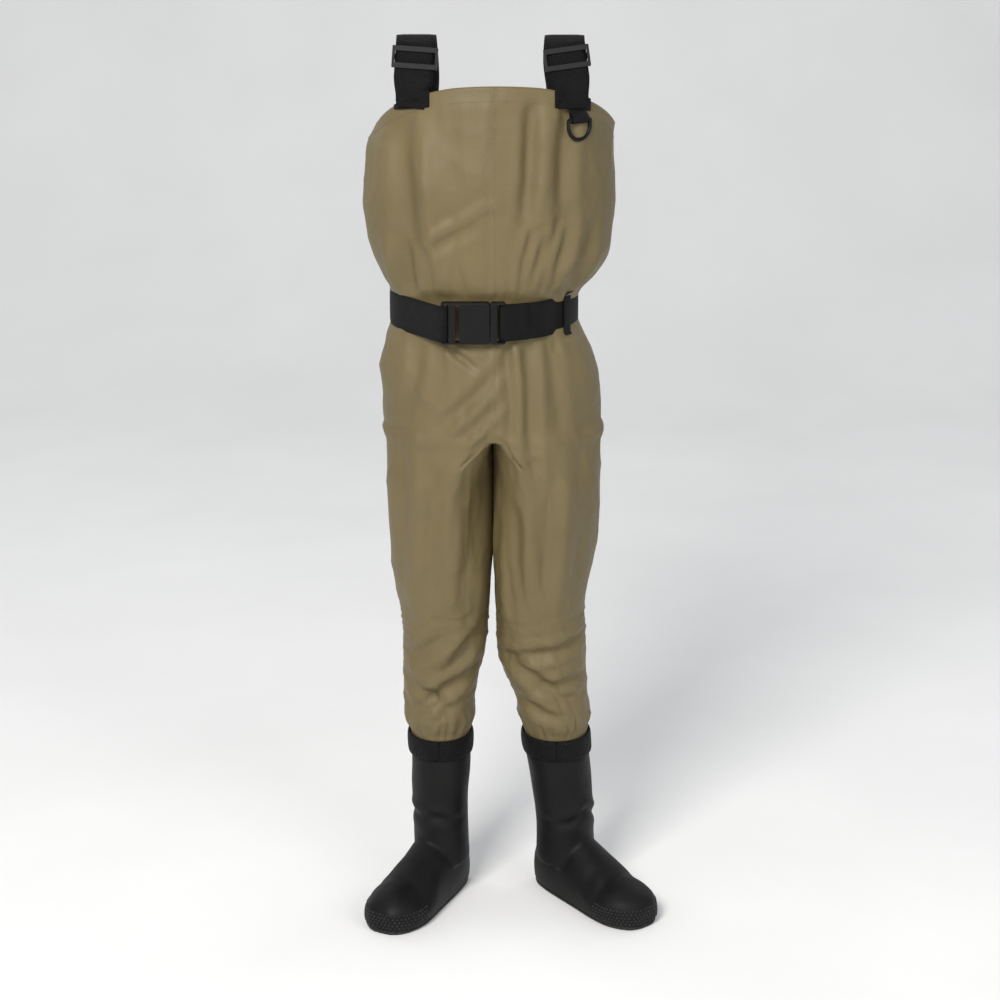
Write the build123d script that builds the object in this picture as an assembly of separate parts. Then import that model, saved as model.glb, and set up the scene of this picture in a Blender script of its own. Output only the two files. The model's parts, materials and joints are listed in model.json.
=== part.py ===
from build123d import *
import math
import os

# Child-size chest waders: a khaki coated-fabric bib and legs, neoprene booties,
# elastic shoulder straps and a webbing waist belt with a side-release buckle.
# Millimetres. +Z is up, the front of the garment faces -Y, and "left" is the
# wearer's left, which is +X. The soles stand on Z = 0. All parts are drawn about
# the body's mid-plane and moved at the end, so that the origin is the ground
# point below the middle of the whole object.

# ---------------------------------------------------------------- driving sizes
FABRIC = 1.4              # shell cloth with its coating and lining
PANEL_POINTS = 8          # steps of the outline across a panel
INNER_LEG_POINTS = 14
TAPE_POINTS = 4
SEAM_GAP = 0.12           # half the gap between neighbouring panels
GAP = 0.15                # air between neighbouring layers
TAB_GAP = 1.1             # air under the strap tabs, where the hem is thickest
CLOTH_GAP = 0.6           # air between the shell cloth and what is sewn or worn over it
TAPE = 0.5                # waterproof tape inside each seam
TAPE_WIDTH = 20
TAPE_GAP = 0.8            # the tape lies this far inside the cloth
SIDE_SEAM_Y = 6           # plane that divides the front panels from the back panels

# The top opening's edge: distance back from the middle of the body, and height.
HEM_LINE = [(-110, 933), (-88, 925), (-54, 906), (-15, 882), (40, 867), (110, 861)]
HEM_HEIGHT = 18           # folded hem along the top opening
HEM_CUT = 939             # above the highest point of the hem
FACING = 0.8
ELASTIC = 1.0
ELASTIC_HEIGHT = 10

BELT_Z = 686              # middle of the waist belt
BELT_HEIGHT = 38          # 1.5 in webbing
BELT_THICKNESS = 2.0
LOOP_WIDTH = 12           # belt loops on the garment
LOOP_HEIGHT = 53

STRAP_WIDTH = 40
STRAP_THICKNESS = 2.0
STRAP_TILT = 10           # degrees that the front of each strap leans back
STRAP_STRAIGHT = 48       # straight front part, which the adjuster runs on
STRAP_FOOT_X = 80
STRAP_FOOT_Y = -77.5
STRAP_FOOT_Z = 921
STRAP_TURN = 30           # degrees that the foot of the strap turns to lie on the bib
STRAP_TURN_HEIGHT = 10
STRAP_LEAN_LEFT = 8       # degrees that each strap leans in toward the neck
STRAP_LEAN_RIGHT = 4
STRAP_BACK = (60, 93, 866)       # where each strap is sewn to the back hem
ADJUSTER_AT = 33          # middle of the adjuster, along the strap from its foot

LEG_BOTTOM = 184          # where the leg cloth is sewn to the bootie
CUFF_BOTTOM = 171
CUFF_TOP = 196
CUFF_THICKNESS = 2.0
NEOPRENE = 4.0
SOLE = 4.0                # sole thickness
ANKLE_Y = 20

BUCKLE_HEIGHT = 43.5
BUCKLE_THICKNESS = 11.2
BUCKLE_LEFT = -53         # outer end of the socket
BUCKLE_JOINT = -2         # face where the plug meets the socket
BUCKLE_RIGHT = 14         # outer end of the plug
BUCKLE_Y = -94.0          # middle of the buckle's thickness
SLOT_HEIGHT = BELT_HEIGHT + 1.5

# Sections of the body, from the bottom up: height, middle x, middle y,
# half width, half depth. Every section is an ellipse.
CROTCH_Z = 560
TORSO = [
    (CROTCH_Z - 20, 0, 4, 119.0, 95),
    (CROTCH_Z, 0, 4, 119.0, 95),
    (587, -2, 3, 119.5, 95),
    (614, -4, 2, 119.5, 95),
    (641, -6, 0, 113.0, 91),
    (666, -8, 0, 102.5, 86),
    (688, -9, 0, 98.8, 83.5),
    (708, -7, 0, 104.0, 86.5),
    (734, -2, 0, 121.0, 95),
    (766, -3, 0, 129.5, 100),
    (800, -3, 0, 133.0, 102.5),
    (840, -3, 0, 131.0, 102),
    (875, -2, 0, 126.0, 100),
    (905, 0, 0, 120.0, 98),
    (940, 0, 0, 112.0, 94),
]
# Sections of a leg, from the crotch down: height, inner edge, widest point and
# outer edge as distances from the mid-plane, middle y, half depth. The top one is
# half of the torso's lowest section.
LEG_RIGHT = [
    (CROTCH_Z, 0, 0, 119.0, 4, 95),
    (545, 1.5, 17, 119.0, 4, 92),
    (526, 2.5, 38, 118.5, 4, 87),
    (495, 3, 58, 118.0, 4, 81),
    (446, 4, 60, 116.0, 5, 75),
    (400, 6, 59.5, 113.0, 6, 70),
    (354, 7, 56.5, 106.0, 8, 63),
    (319, 6.5, 54, 101.5, 10, 58),
    (283, 13, 57.5, 102.0, 13, 54),
    (236, 19, 59.5, 100.0, 17, 49),
    (211, 22, 59, 96.0, 19, 45),
    (CUFF_TOP, 25.4, 59, 92.6, 20, 41),
    (LEG_BOTTOM, 25.8, 59, 92.2, 20, 40.4),
]
LEG_LEFT = [
    (CROTCH_Z, 0, 0, 119.0, 4, 95),
    (545, 1.5, 17, 119.5, 4, 92),
    (526, 2.5, 38, 119.5, 4, 87),
    (495, 3, 59, 120.0, 4, 81),
    (446, 3, 60, 117.5, 5, 75),
    (400, 2, 56, 110.5, 6, 70),
    (354, 2, 53, 104.5, 8, 63),
    (319, 3.5, 54.5, 105.5, 10, 58),
    (283, 9.5, 58, 106.5, 13, 54),
    (236, 25.5, 67, 108.5, 17, 49),
    (211, 31.5, 70, 108.5, 19, 45),
    (CUFF_TOP, 35.2, 71, 106.8, 20, 41),
    (LEG_BOTTOM, 35.9, 71.4, 106.9, 20, 40.4),
]
SHAFT_RIGHT = [
    (183, -59, 20, 33.2, 40),
    (150, -59, 20, 33.0, 39),
    (115, -59.5, 20, 31.5, 37.5),
    (79, -59, 20, 31.0, 38),
    (40, -59, 20, 32.0, 40),
]
SHAFT_LEFT = [
    (183, 71.5, 20, 35.4, 40),
    (150, 75.5, 20, 35.0, 39),
    (115, 79.5, 20, 33.5, 37.5),
    (79, 82, 20, 33.0, 38),
    (40, 83, 20, 33.0, 40),
]
CUFF_RIGHT = [
    (CUFF_BOTTOM, -59, 20, 34.0, 40.4),
    (LEG_BOTTOM, -59, 20, 34.2, 40.8),
    (CUFF_TOP, -59, 20, 34.6, 41.8),
]
CUFF_LEFT = [
    (CUFF_BOTTOM, 73, 20, 36.4, 40.6),
    (LEG_BOTTOM, 71.4, 20, 36.4, 40.8),
    (CUFF_TOP, 71, 20, 36.8, 41.8),
]
# Sections of a foot, from heel to toe: distance forward of the ankle, half
# width, half height, height of the middle. The sole cuts them off at Z = 0.
FOOT = [
    (-39, 11, 25, 20),
    (-33, 19, 41, 22),
    (-19, 24.5, 54, 24),
    (5, 28.5, 58, 24),
    (40, 31.5, 50, 20),
    (72, 35, 39, 16),
    (102, 36, 31, 14),
    (124, 28.5, 25, 12),
    (137, 13, 13, 12),
]
FOOT_YAW_RIGHT = -28      # degrees outward
FOOT_YAW_LEFT = 39

BIG = 2000


# ---------------------------------------------------------------- helpers
def tube(sections, outset):
    """A smooth solid through elliptical sections, grown by outset all round."""
    return loft([
        Pos(x, y, z) * Ellipse(half_width + outset, half_depth + outset)
        for z, x, y, half_width, half_depth in sections
    ])


def region(low, high):
    """An axis-aligned box between two corners."""
    size = [b - a for a, b in zip(low, high)]
    middle = [(a + b) / 2 for a, b in zip(low, high)]
    return Pos(*middle) * Box(*size)


def above_hem(drop):
    """The space above the top opening's edge, which is high in front and low behind."""
    points = [(y, z - drop) for y, z in HEM_LINE]
    front = points[0]
    back = points[-1]
    far = BIG / 4
    top = BIG / 2
    outline = [
        Line(back, (far, back[1])),
        Line((far, back[1]), (far, top)),
        Line((far, top), (-far, top)),
        Line((-far, top), (-far, front[1])),
        Line((-far, front[1]), front),
    ]
    face = make_face([Spline(*points), *outline])
    return Plane.YZ * extrude(face, far, both=True)


def torso_layer(inner, outer, low_z, high_z):
    """A sleeve around the torso between two outsets and two heights."""
    space = region((-BIG, -BIG, low_z), (BIG, BIG, high_z))
    return (tube(TORSO, outer) & space) - tube(TORSO, inner)


def front_angle(station, outset, x):
    """Angle on an outline, counted from its front, at which it reaches x on the front."""
    _, middle_x, _, half_width, _ = station
    return math.asin((x - middle_x) / (half_width + outset))


def side_angle(station, outset):
    """Angle on an outline at which it meets the plane of the side seam."""
    _, _, middle_y, _, half_depth = station
    return math.acos((middle_y - SIDE_SEAM_Y) / (half_depth + outset))


def arc_points(station, outset, start, end, count):
    """Points of an elliptical outline between two angles, counted from its front."""
    height, middle_x, middle_y, half_width, half_depth = station
    points = []
    for i in range(count + 1):
        angle = start + (end - start) * i / count
        x = middle_x + (half_width + outset) * math.sin(angle)
        y = middle_y - (half_depth + outset) * math.cos(angle)
        points.append((x, y, height))
    return points


def wall(side, stations, outer, inner, angles, count):
    """A curved wall through the stations, between two outsets and two angles.

    angles takes a station and an outset and gives the first and last angle there.
    A wall that passes the crotch is made in two lofts that share their section there."""
    heights = [station[0] for station in stations]
    if heights[0] > CROTCH_Z > heights[-1]:
        split = heights.index(CROTCH_Z)
        above = wall(side, stations[:split + 1], outer, inner, angles, count)
        return above + wall(side, stations[split:], outer, inner, angles, count)
    sections = []
    for station in stations:
        outside = arc_points(station, outer, *angles(station, outer), count)
        inside = arc_points(station, inner, *angles(station, inner), count)
        outside = [(side * x, y, z) for x, y, z in outside]
        inside = [(side * x, y, z) for x, y, z in inside]
        sections.append(make_face([
            Spline(*outside),
            Line(outside[-1], inside[-1]),
            Spline(*reversed(inside)),
            Line(inside[0], outside[0]),
        ]))
    return loft(sections)


def side_stations(side):
    """The outline from hem to ankle of one side, as if that side were +X.

    Above the crotch these are the torso's ellipses. Below it they are the outer half
    of the leg, whose middle is the widest point of the leg."""
    torso = [(z, side * x, y, a, b) for z, x, y, a, b in TORSO if z > CROTCH_Z]
    leg = [(z, widest, y, outer_edge - widest, b)
           for z, _, widest, outer_edge, y, b in (LEG_LEFT if side > 0 else LEG_RIGHT)]
    return torso[::-1] + leg


def inner_leg_stations(side):
    """The inner half of the leg, from the crotch to the ankle, as if it faced +X."""
    return [(z, -widest, y, widest - inner_edge, b)
            for z, inner_edge, widest, _, y, b in (LEG_LEFT if side > 0 else LEG_RIGHT)]


def rounded_box(length, depth, height, radius):
    """A box with its four long edges along the depth rounded."""
    flat = RectangleRounded(length, height, radius)
    return Plane.XZ * extrude(flat, depth / 2, both=True)


# ---------------------------------------------------------------- cloth shell
def cloth_panels():
    """Front and back panels, and the inner panel of each leg."""
    panels = {}
    for name, side in {"left": 1, "right": -1}.items():
        stations = side_stations(side)

        def front(station, outset):
            edge = 0 if station[0] > CROTCH_Z else station[1]
            start = front_angle(station, outset, edge + SEAM_GAP)
            return start, side_angle(station, outset) - SEAM_GAP / station[4]

        def back(station, outset):
            edge = 0 if station[0] > CROTCH_Z else station[1]
            end = math.pi - front_angle(station, outset, edge + SEAM_GAP)
            return side_angle(station, outset) + SEAM_GAP / station[4], end

        def inner(station, outset):
            return SEAM_GAP / 20, math.pi - SEAM_GAP / 20

        panels[f"front_panel_{name}"] = wall(side, stations, 0, -FABRIC, front, PANEL_POINTS) - above_hem(0)
        panels[f"back_panel_{name}"] = wall(side, stations, 0, -FABRIC, back, PANEL_POINTS) - above_hem(0)
        panels[f"inner_leg_{name}"] = wall(
            -side, inner_leg_stations(side), 0, -FABRIC, inner, INNER_LEG_POINTS)
    return panels


def seam_tapes():
    """Waterproof tape along the inside of every seam."""
    outer = -FABRIC - TAPE_GAP
    inner = outer - TAPE
    half = TAPE_WIDTH / 2
    body = TORSO[1:]
    below_hem = above_hem(HEM_HEIGHT + 1)

    def centre_front(station, outset):
        return front_angle(station, outset, -half), front_angle(station, outset, half)

    def centre_back(station, outset):
        return math.pi - front_angle(station, outset, half), math.pi - front_angle(station, outset, -half)

    def outer_side(station, outset):
        middle = side_angle(station, outset)
        return middle - half / station[4], middle + half / station[4]

    def inner_side(station, outset):
        return math.pi / 2 - half / station[4], math.pi / 2 + half / station[4]

    tapes = {
        "seam_tape_front": wall(1, body, outer, inner, centre_front, TAPE_POINTS) - below_hem,
        "seam_tape_back": wall(1, body, outer, inner, centre_back, TAPE_POINTS) - below_hem,
    }
    for name, side in {"left": 1, "right": -1}.items():
        stations = side_stations(side)
        split = [station[0] for station in stations].index(CROTCH_Z)
        torso = wall(side, stations[:split + 1], outer, inner, outer_side, TAPE_POINTS)
        tapes[f"seam_tape_side_{name}"] = torso - below_hem
        tapes[f"seam_tape_outseam_{name}"] = wall(
            side, stations[split + 1:], outer, inner, outer_side, TAPE_POINTS)
        tapes[f"seam_tape_inseam_{name}"] = wall(
            -side, inner_leg_stations(side)[2:], outer, inner, inner_side, TAPE_POINTS)
    return tapes


def hem_pieces():
    """Hem facing all round, with an elastic band caught in it across the back."""
    bottom = above_hem(HEM_HEIGHT)
    inset = FABRIC + ELASTIC + 2 * GAP
    low = 820
    facing = (torso_layer(-inset - FACING, -inset, low, HEM_CUT) - above_hem(0)) & bottom
    top_gap = (HEM_HEIGHT - ELASTIC_HEIGHT) / 2
    elastic = torso_layer(-FABRIC - GAP - ELASTIC, -FABRIC - GAP, low, HEM_CUT) - above_hem(top_gap)
    elastic &= above_hem(top_gap + ELASTIC_HEIGHT)
    elastic &= region((-BIG, SIDE_SEAM_Y + TAPE_WIDTH, 0), (BIG, BIG, BIG))
    return {"hem_facing": facing, "back_elastic": elastic}


# ---------------------------------------------------------------- waist belt
def belt_webbing():
    """Webbing round the waist, open behind the buckle, folded round the socket's bar."""
    low = BELT_Z - BELT_HEIGHT / 2
    high = BELT_Z + BELT_HEIGHT / 2
    band = torso_layer(CLOTH_GAP, CLOTH_GAP + BELT_THICKNESS, low, high)
    band -= region((BUCKLE_LEFT - 3, -BIG, 0), (BUCKLE_RIGHT + 5, 0, BIG))
    return band


def webbing_loop(bar_middle, bar_width, bar_thickness, reach):
    """Flat webbing folded round a buckle bar, its two layers running out to reach."""
    inner_w = bar_width / 2 + 0.3
    inner_t = bar_thickness / 2 + 0.3
    direction = 1 if reach > bar_middle else -1
    near = bar_middle - direction * inner_w
    outline = region(
        (min(near - direction * BELT_THICKNESS, reach), BUCKLE_Y - inner_t - BELT_THICKNESS,
         BELT_Z - BELT_HEIGHT / 2),
        (max(near - direction * BELT_THICKNESS, reach), BUCKLE_Y + inner_t + BELT_THICKNESS,
         BELT_Z + BELT_HEIGHT / 2),
    )
    stitched = reach - direction * 8
    hole = region(
        (min(near, stitched), BUCKLE_Y - inner_t, 0),
        (max(near, stitched), BUCKLE_Y + inner_t, BIG),
    )
    return outline - hole


def belt_loop(middle, size):
    """One webbing loop: sewn to the garment at its two ends, clear of the belt between."""
    half = LOOP_HEIGHT / 2
    sewn_end = 5.5
    clear = CLOTH_GAP + BELT_THICKNESS + 0.6
    low = (middle[0] - size[0] / 2, middle[1] - size[1] / 2, BELT_Z - half)
    high = (middle[0] + size[0] / 2, middle[1] + size[1] / 2, BELT_Z + half)
    loop = (tube(TORSO, clear + 1.2) & region(low, high)) - tube(TORSO, CLOTH_GAP)
    passage = tube(TORSO, clear) & region(
        (-BIG, -BIG, BELT_Z - half + sewn_end), (BIG, BIG, BELT_Z + half - sewn_end))
    return loop - passage


def belt_loops():
    """Three loops: left side, right side and back."""
    return {
        "belt_loop_left": belt_loop((90, -42), (60, LOOP_WIDTH)),
        "belt_loop_right": belt_loop((-100, 20), (60, LOOP_WIDTH)),
        "belt_loop_back": belt_loop((-9, 90), (LOOP_WIDTH, 60)),
    }


# ---------------------------------------------------------------- buckle
SOCKET_LENGTH = BUCKLE_JOINT - BUCKLE_LEFT
CAVITY_LEFT = -31         # blind end of the socket's hollow
CAVITY_HALF_Z = 18.2
CAVITY_HALF_Y = 3.6
WINDOW = (-21, -4.5)      # side windows that the thumb pads stand in
PRONG_HALF_Y = 3.0


def buckle_socket():
    """Female half: a flat box with a hollow, two side windows and two webbing slots."""
    body = Pos((BUCKLE_LEFT + BUCKLE_JOINT - 0.4) / 2, BUCKLE_Y, BELT_Z) * rounded_box(
        SOCKET_LENGTH - 0.4, BUCKLE_THICKNESS, BUCKLE_HEIGHT, 3)
    body = fillet(body.edges().filter_by(Axis.X), 1.2)
    half_slot = SLOT_HEIGHT / 2
    body -= region(
        (CAVITY_LEFT, BUCKLE_Y - CAVITY_HALF_Y, BELT_Z - CAVITY_HALF_Z),
        (BUCKLE_JOINT + 1, BUCKLE_Y + CAVITY_HALF_Y, BELT_Z + CAVITY_HALF_Z))
    body -= region(
        (WINDOW[0], BUCKLE_Y - CAVITY_HALF_Y, BELT_Z - BUCKLE_HEIGHT),
        (WINDOW[1], BUCKLE_Y + CAVITY_HALF_Y, BELT_Z + BUCKLE_HEIGHT))
    for slot_x in (-47, -36):
        body -= region(
            (slot_x - 2, -BIG, BELT_Z - half_slot), (slot_x + 2, BIG, BELT_Z + half_slot))
    return body


def buckle_plug():
    """Male half: a barred base and a middle guide that runs in the socket."""
    base_length = BUCKLE_RIGHT - BUCKLE_JOINT
    base = Pos((BUCKLE_RIGHT + BUCKLE_JOINT) / 2, BUCKLE_Y, BELT_Z) * rounded_box(
        base_length, BUCKLE_THICKNESS - 1, BUCKLE_HEIGHT, 3)
    base = fillet(base.edges().filter_by(Axis.X), 1.0)
    half_slot = SLOT_HEIGHT / 2
    base -= region((5, -BIG, BELT_Z - half_slot), (9, BIG, BELT_Z + half_slot))
    thin = 2.0
    for y0, y1 in ((-BIG, BUCKLE_Y - thin), (BUCKLE_Y + thin, BIG)):
        base -= region((8.9, y0, BELT_Z - half_slot), (BUCKLE_RIGHT + 1, y1, BELT_Z + half_slot))
    guide = region(
        (-27, BUCKLE_Y - 2, BELT_Z - 2.5), (BUCKLE_JOINT + 1, BUCKLE_Y + 2, BELT_Z + 2.5))
    base += guide
    return base


def prong(side):
    """One spring arm with its thumb pad; side is +1 for the upper, -1 for the lower."""
    outline = Polyline(
        (-2.3, 9.0), (-2.3, 14.5), (-5.3, 17.5), (-5.3, 20.6), (-8.0, 21.4), (-16.5, 20.2),
        (-20.0, 17.6), (-25.5, 13.0), (-25.5, 8.6), (-16.0, 10.5), (-2.3, 9.0),
    )
    blade = extrude(Plane.XZ * make_face(outline), PRONG_HALF_Y, both=True)
    if side < 0:
        blade = mirror(blade, Plane.XY)
    return Pos(0, BUCKLE_Y, BELT_Z) * blade


# ---------------------------------------------------------------- shoulder straps
def strap_line(side):
    """Front foot of one strap and the direction that its straight part takes."""
    lean = math.radians(STRAP_LEAN_LEFT if side > 0 else STRAP_LEAN_RIGHT)
    tilt = math.radians(STRAP_TILT)
    direction = Vector(-side * math.sin(lean), math.sin(tilt), math.cos(tilt)).normalized()
    return Vector(side * STRAP_FOOT_X, STRAP_FOOT_Y, STRAP_FOOT_Z), direction


def strap_plane(point, direction, turn=0):
    """A plane square to the strap's run, level across its width, turned by turn degrees."""
    level = Vector(math.cos(math.radians(turn)), math.sin(math.radians(turn)), 0)
    across = (level - direction * level.dot(direction)).normalized()
    return Plane(origin=point, x_dir=across, z_dir=direction)


def strap_section(point, direction, turn=0):
    """The strap's cross-section at one place along its run."""
    return strap_plane(point, direction, turn) * Rectangle(STRAP_WIDTH, STRAP_THICKNESS)


def shoulder_strap(side):
    """An elastic strap: up from the bib, over the shoulder, sewn behind."""
    foot, direction = strap_line(side)
    turned = foot + direction * STRAP_TURN_HEIGHT
    shoulder = foot + direction * STRAP_STRAIGHT
    strap = loft([strap_section(foot, direction, side * STRAP_TURN), strap_section(turned, direction)])
    strap += loft([strap_section(turned, direction), strap_section(shoulder, direction)])
    crown = shoulder + Vector(0, 30, 4)
    run = Spline(
        shoulder,
        crown,
        Vector(crown.X, 42, 940),
        Vector(side * 69, 80, 905),
        Vector(side * STRAP_BACK[0], STRAP_BACK[1], STRAP_BACK[2]),
        tangents=[direction, Vector(0, 0.2, -1)],
    )
    count = 12
    return strap + loft([
        strap_section(run.position_at(i / count), run.tangent_at(i / count)) for i in range(count + 1)
    ])


def strap_adjuster(side):
    """A three-bar slide: end bars in front of the strap, the middle bar behind it."""
    foot, direction = strap_line(side)
    rail = 2.6
    width = STRAP_WIDTH + 0.8 + 2 * rail
    height = 22
    end_bar = 5
    bar = 2.2
    clear = STRAP_THICKNESS / 2 + 0.3
    slide = Part()
    for sign in (-1, 1):
        slide += Pos(sign * (width - rail) / 2, 0, 0) * Box(rail, 2 * (clear + bar), height)
        slide += Pos(0, -clear - bar / 2, sign * (height - end_bar) / 2) * Box(width, bar, end_bar)
    slide += Pos(0, clear + bar / 2, 0) * Box(width, bar, end_bar)
    slide = fillet(slide.edges().filter_by(Axis.Y), 0.8)
    return strap_plane(foot + direction * ADJUSTER_AT, direction) * slide


def strap_tab(side):
    """A webbing tab sewn flat on the bib below the strap."""
    inner_x = 63
    outer_x = 99
    low_z = 898
    thickness = 1.3
    tab = torso_layer(TAB_GAP, TAB_GAP + thickness, 880, 940)
    tab &= region(
        (min(side * inner_x, side * outer_x), -BIG, low_z),
        (max(side * inner_x, side * outer_x), 0, BIG))
    return tab - above_hem(0.5)


def back_tab(side):
    """A reinforcing patch at the back hem, where the strap ends."""
    patch = torso_layer(CLOTH_GAP, CLOTH_GAP + 1.4, 820, 900)
    middle = side * STRAP_BACK[0]
    patch &= region((middle - 23, 0, 832), (middle + 23, BIG, 900))
    return patch - above_hem(0.5)


# ---------------------------------------------------------------- D-ring
RING_X = 84
RING_Z = 892
RING_WIDTH = 32
RING_DROP = 24
RING_WIRE = 2.0           # radius of the wire


def ring_plane():
    """Frame at the D-ring's bar: x along the bar, y out of the chest, z up."""
    half_width = 122.5
    half_depth = 99
    surface_y = -half_depth * math.sqrt(1 - (RING_X / half_width) ** 2)
    normal = Vector(RING_X / half_width ** 2, surface_y / half_depth ** 2, 0).normalized()
    origin = Vector(RING_X, surface_y, RING_Z) + normal * 7.0
    along = Vector(-normal.Y, normal.X, 0)
    return Plane(origin=origin, x_dir=along, z_dir=Vector(0, 0, 1)), normal


def d_ring():
    """A moulded D-shaped ring that hangs from its webbing loop."""
    half = RING_WIDTH / 2 - RING_WIRE
    drop = RING_DROP - 2 * RING_WIRE
    round_part = ThreePointArc((half, -drop + half * 0.9), (0, -drop), (-half, -drop + half * 0.9))
    side_a = Line((-half, 0), (-half, -drop + half * 0.9))
    side_b = Line((half, -drop + half * 0.9), (half, 0))
    bar = Line((-half, 0), (half, 0))
    plane, _ = ring_plane()
    path = Plane.XZ * Wire([bar, side_b, round_part, side_a])
    return plane * sweep(
        Plane(origin=(0, 0, 0), x_dir=(0, 1, 0), z_dir=(1, 0, 0)) * Circle(RING_WIRE),
        path=path, transition=Transition.ROUND)


def d_ring_loop():
    """Narrow webbing folded round the D-ring's bar and sewn under the tab."""
    plane, _ = ring_plane()
    inner = RING_WIRE + 0.3
    outer = inner + 1.4
    width = 20
    rod = Rot(0, 90, 0) * (Cylinder(outer, width) - Cylinder(inner, width + 1))
    lead = Pos(0, 0, outer + 2) * Box(width, 1.6, 8)
    lead -= Rot(0, 90, 0) * Cylinder(inner, width + 1)
    return plane * (rod + lead)


# ---------------------------------------------------------------- booties
def foot_solid(ankle_x, yaw, inset):
    """One foot from heel to toe, shrunk by inset all round."""
    heading = Plane(
        origin=(ankle_x, ANKLE_Y, 0),
        x_dir=(math.cos(math.radians(yaw)), math.sin(math.radians(yaw)), 0),
        z_dir=(math.sin(math.radians(yaw)), -math.cos(math.radians(yaw)), 0),
    )
    sections = []
    for distance, half_width, half_height, middle in FOOT:
        along = distance * (1 - inset / 60)
        sections.append(
            heading.offset(along) * Pos(0, middle, 0) * Ellipse(half_width - inset, half_height - inset))
    return loft(sections)


def bootie(shaft, yaw):
    """Hollow neoprene bootie, and the sole slab under it."""
    ankle_x = shaft[-1][1]
    outside = tube(shaft, 0) + foot_solid(ankle_x, yaw, 0)
    inside = tube([(shaft[0][0] + 10, *shaft[0][1:])] + shaft, -NEOPRENE)
    inside += foot_solid(ankle_x, yaw, NEOPRENE)
    ground = region((-BIG, -BIG, -BIG), (BIG, BIG, 0))
    sole_space = region((-BIG, -BIG, 0), (BIG, BIG, SOLE))
    floor_top = SOLE + NEOPRENE
    inside -= region((-BIG, -BIG, -BIG), (BIG, BIG, floor_top))
    upper = outside - ground - sole_space - inside
    sole = outside & sole_space
    return upper, sole


def ankle_cuff(sections):
    """A stretch cuff over the joint between leg cloth and bootie."""
    inside = [(CUFF_BOTTOM - 1, *sections[0][1:]), *sections[1:-1], (CUFF_TOP + 1, *sections[-1][1:])]
    return tube(sections, CUFF_THICKNESS) - tube(inside, 0)


# ---------------------------------------------------------------- assembly
def all_parts():
    parts = {}
    parts.update(cloth_panels())
    parts.update(seam_tapes())
    parts.update(hem_pieces())
    parts["belt_webbing"] = belt_webbing()
    parts.update(belt_loops())
    parts["belt_end_loop"] = webbing_loop(11.5, 5, 4, 36)
    parts["buckle_socket"] = buckle_socket()
    parts["buckle_plug"] = buckle_plug()
    parts["prong_upper"] = prong(1)
    parts["prong_lower"] = prong(-1)
    for name, side in {"left": 1, "right": -1}.items():
        parts[f"shoulder_strap_{name}"] = shoulder_strap(side)
        parts[f"strap_adjuster_{name}"] = strap_adjuster(side)
        parts[f"strap_tab_{name}"] = strap_tab(side)
        parts[f"back_tab_{name}"] = back_tab(side)
    parts["d_ring"] = d_ring()
    parts["d_ring_loop"] = d_ring_loop()
    parts["bootie_left"], parts["bootie_sole_left"] = bootie(SHAFT_LEFT, FOOT_YAW_LEFT)
    parts["bootie_right"], parts["bootie_sole_right"] = bootie(SHAFT_RIGHT, FOOT_YAW_RIGHT)
    parts["ankle_cuff_left"] = ankle_cuff(CUFF_LEFT)
    parts["ankle_cuff_right"] = ankle_cuff(CUFF_RIGHT)
    return parts


def centred(parts):
    """Moves every part so that the origin lies under the middle of the whole box."""
    boxes = [part.bounding_box() for part in parts.values()]
    middle_x = (min(b.min.X for b in boxes) + max(b.max.X for b in boxes)) / 2
    middle_y = (min(b.min.Y for b in boxes) + max(b.max.Y for b in boxes)) / 2
    low_z = min(b.min.Z for b in boxes)
    print("shift", -middle_x, -middle_y, -low_z)
    return {name: Pos(-middle_x, -middle_y, -low_z) * part for name, part in parts.items()}


os.makedirs("parts", exist_ok=True)
for node, shape in centred(all_parts()).items():
    export_step(shape, f"parts/{node}.step")
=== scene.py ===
import json
import math
import random

import bmesh
import bpy
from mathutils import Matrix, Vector, noise
from mathutils.bvhtree import BVHTree


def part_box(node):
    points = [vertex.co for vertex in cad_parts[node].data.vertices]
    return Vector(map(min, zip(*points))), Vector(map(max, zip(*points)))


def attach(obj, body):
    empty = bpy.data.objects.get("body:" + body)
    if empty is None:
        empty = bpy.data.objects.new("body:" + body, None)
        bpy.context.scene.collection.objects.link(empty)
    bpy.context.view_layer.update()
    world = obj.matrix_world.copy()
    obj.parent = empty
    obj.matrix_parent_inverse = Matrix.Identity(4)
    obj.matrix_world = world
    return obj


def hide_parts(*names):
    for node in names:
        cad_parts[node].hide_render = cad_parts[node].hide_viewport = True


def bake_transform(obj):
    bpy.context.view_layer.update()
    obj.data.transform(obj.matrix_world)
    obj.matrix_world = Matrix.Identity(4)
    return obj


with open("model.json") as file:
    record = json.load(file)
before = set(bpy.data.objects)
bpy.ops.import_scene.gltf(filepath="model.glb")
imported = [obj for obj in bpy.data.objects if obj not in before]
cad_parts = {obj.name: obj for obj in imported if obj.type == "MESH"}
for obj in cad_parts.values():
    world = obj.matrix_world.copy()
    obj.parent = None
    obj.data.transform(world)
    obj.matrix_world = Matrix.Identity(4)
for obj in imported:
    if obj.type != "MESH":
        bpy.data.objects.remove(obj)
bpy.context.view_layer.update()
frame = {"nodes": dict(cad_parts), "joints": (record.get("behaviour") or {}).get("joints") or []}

# ------------------------------------------------------------------ shared places
# The script works in millimetres about the body's mid-plane: x toward the wearer's
# left, y backward from the body's middle, z up from the ground. at() turns such a
# place into the frame's own metres.
MM = 0.001
SIDE_SEAM_Y = 5.9         # back edge of the front panels, from the body's middle
FRONT_LOW, FRONT_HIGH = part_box("front_panel_left")
MID_X = FRONT_LOW.x - 0.12 * MM
MID_Y = FRONT_HIGH.y - SIDE_SEAM_Y * MM
CROTCH_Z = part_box("inner_leg_left")[1].z / MM
LEG_BOTTOM = FRONT_LOW.z / MM
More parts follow.
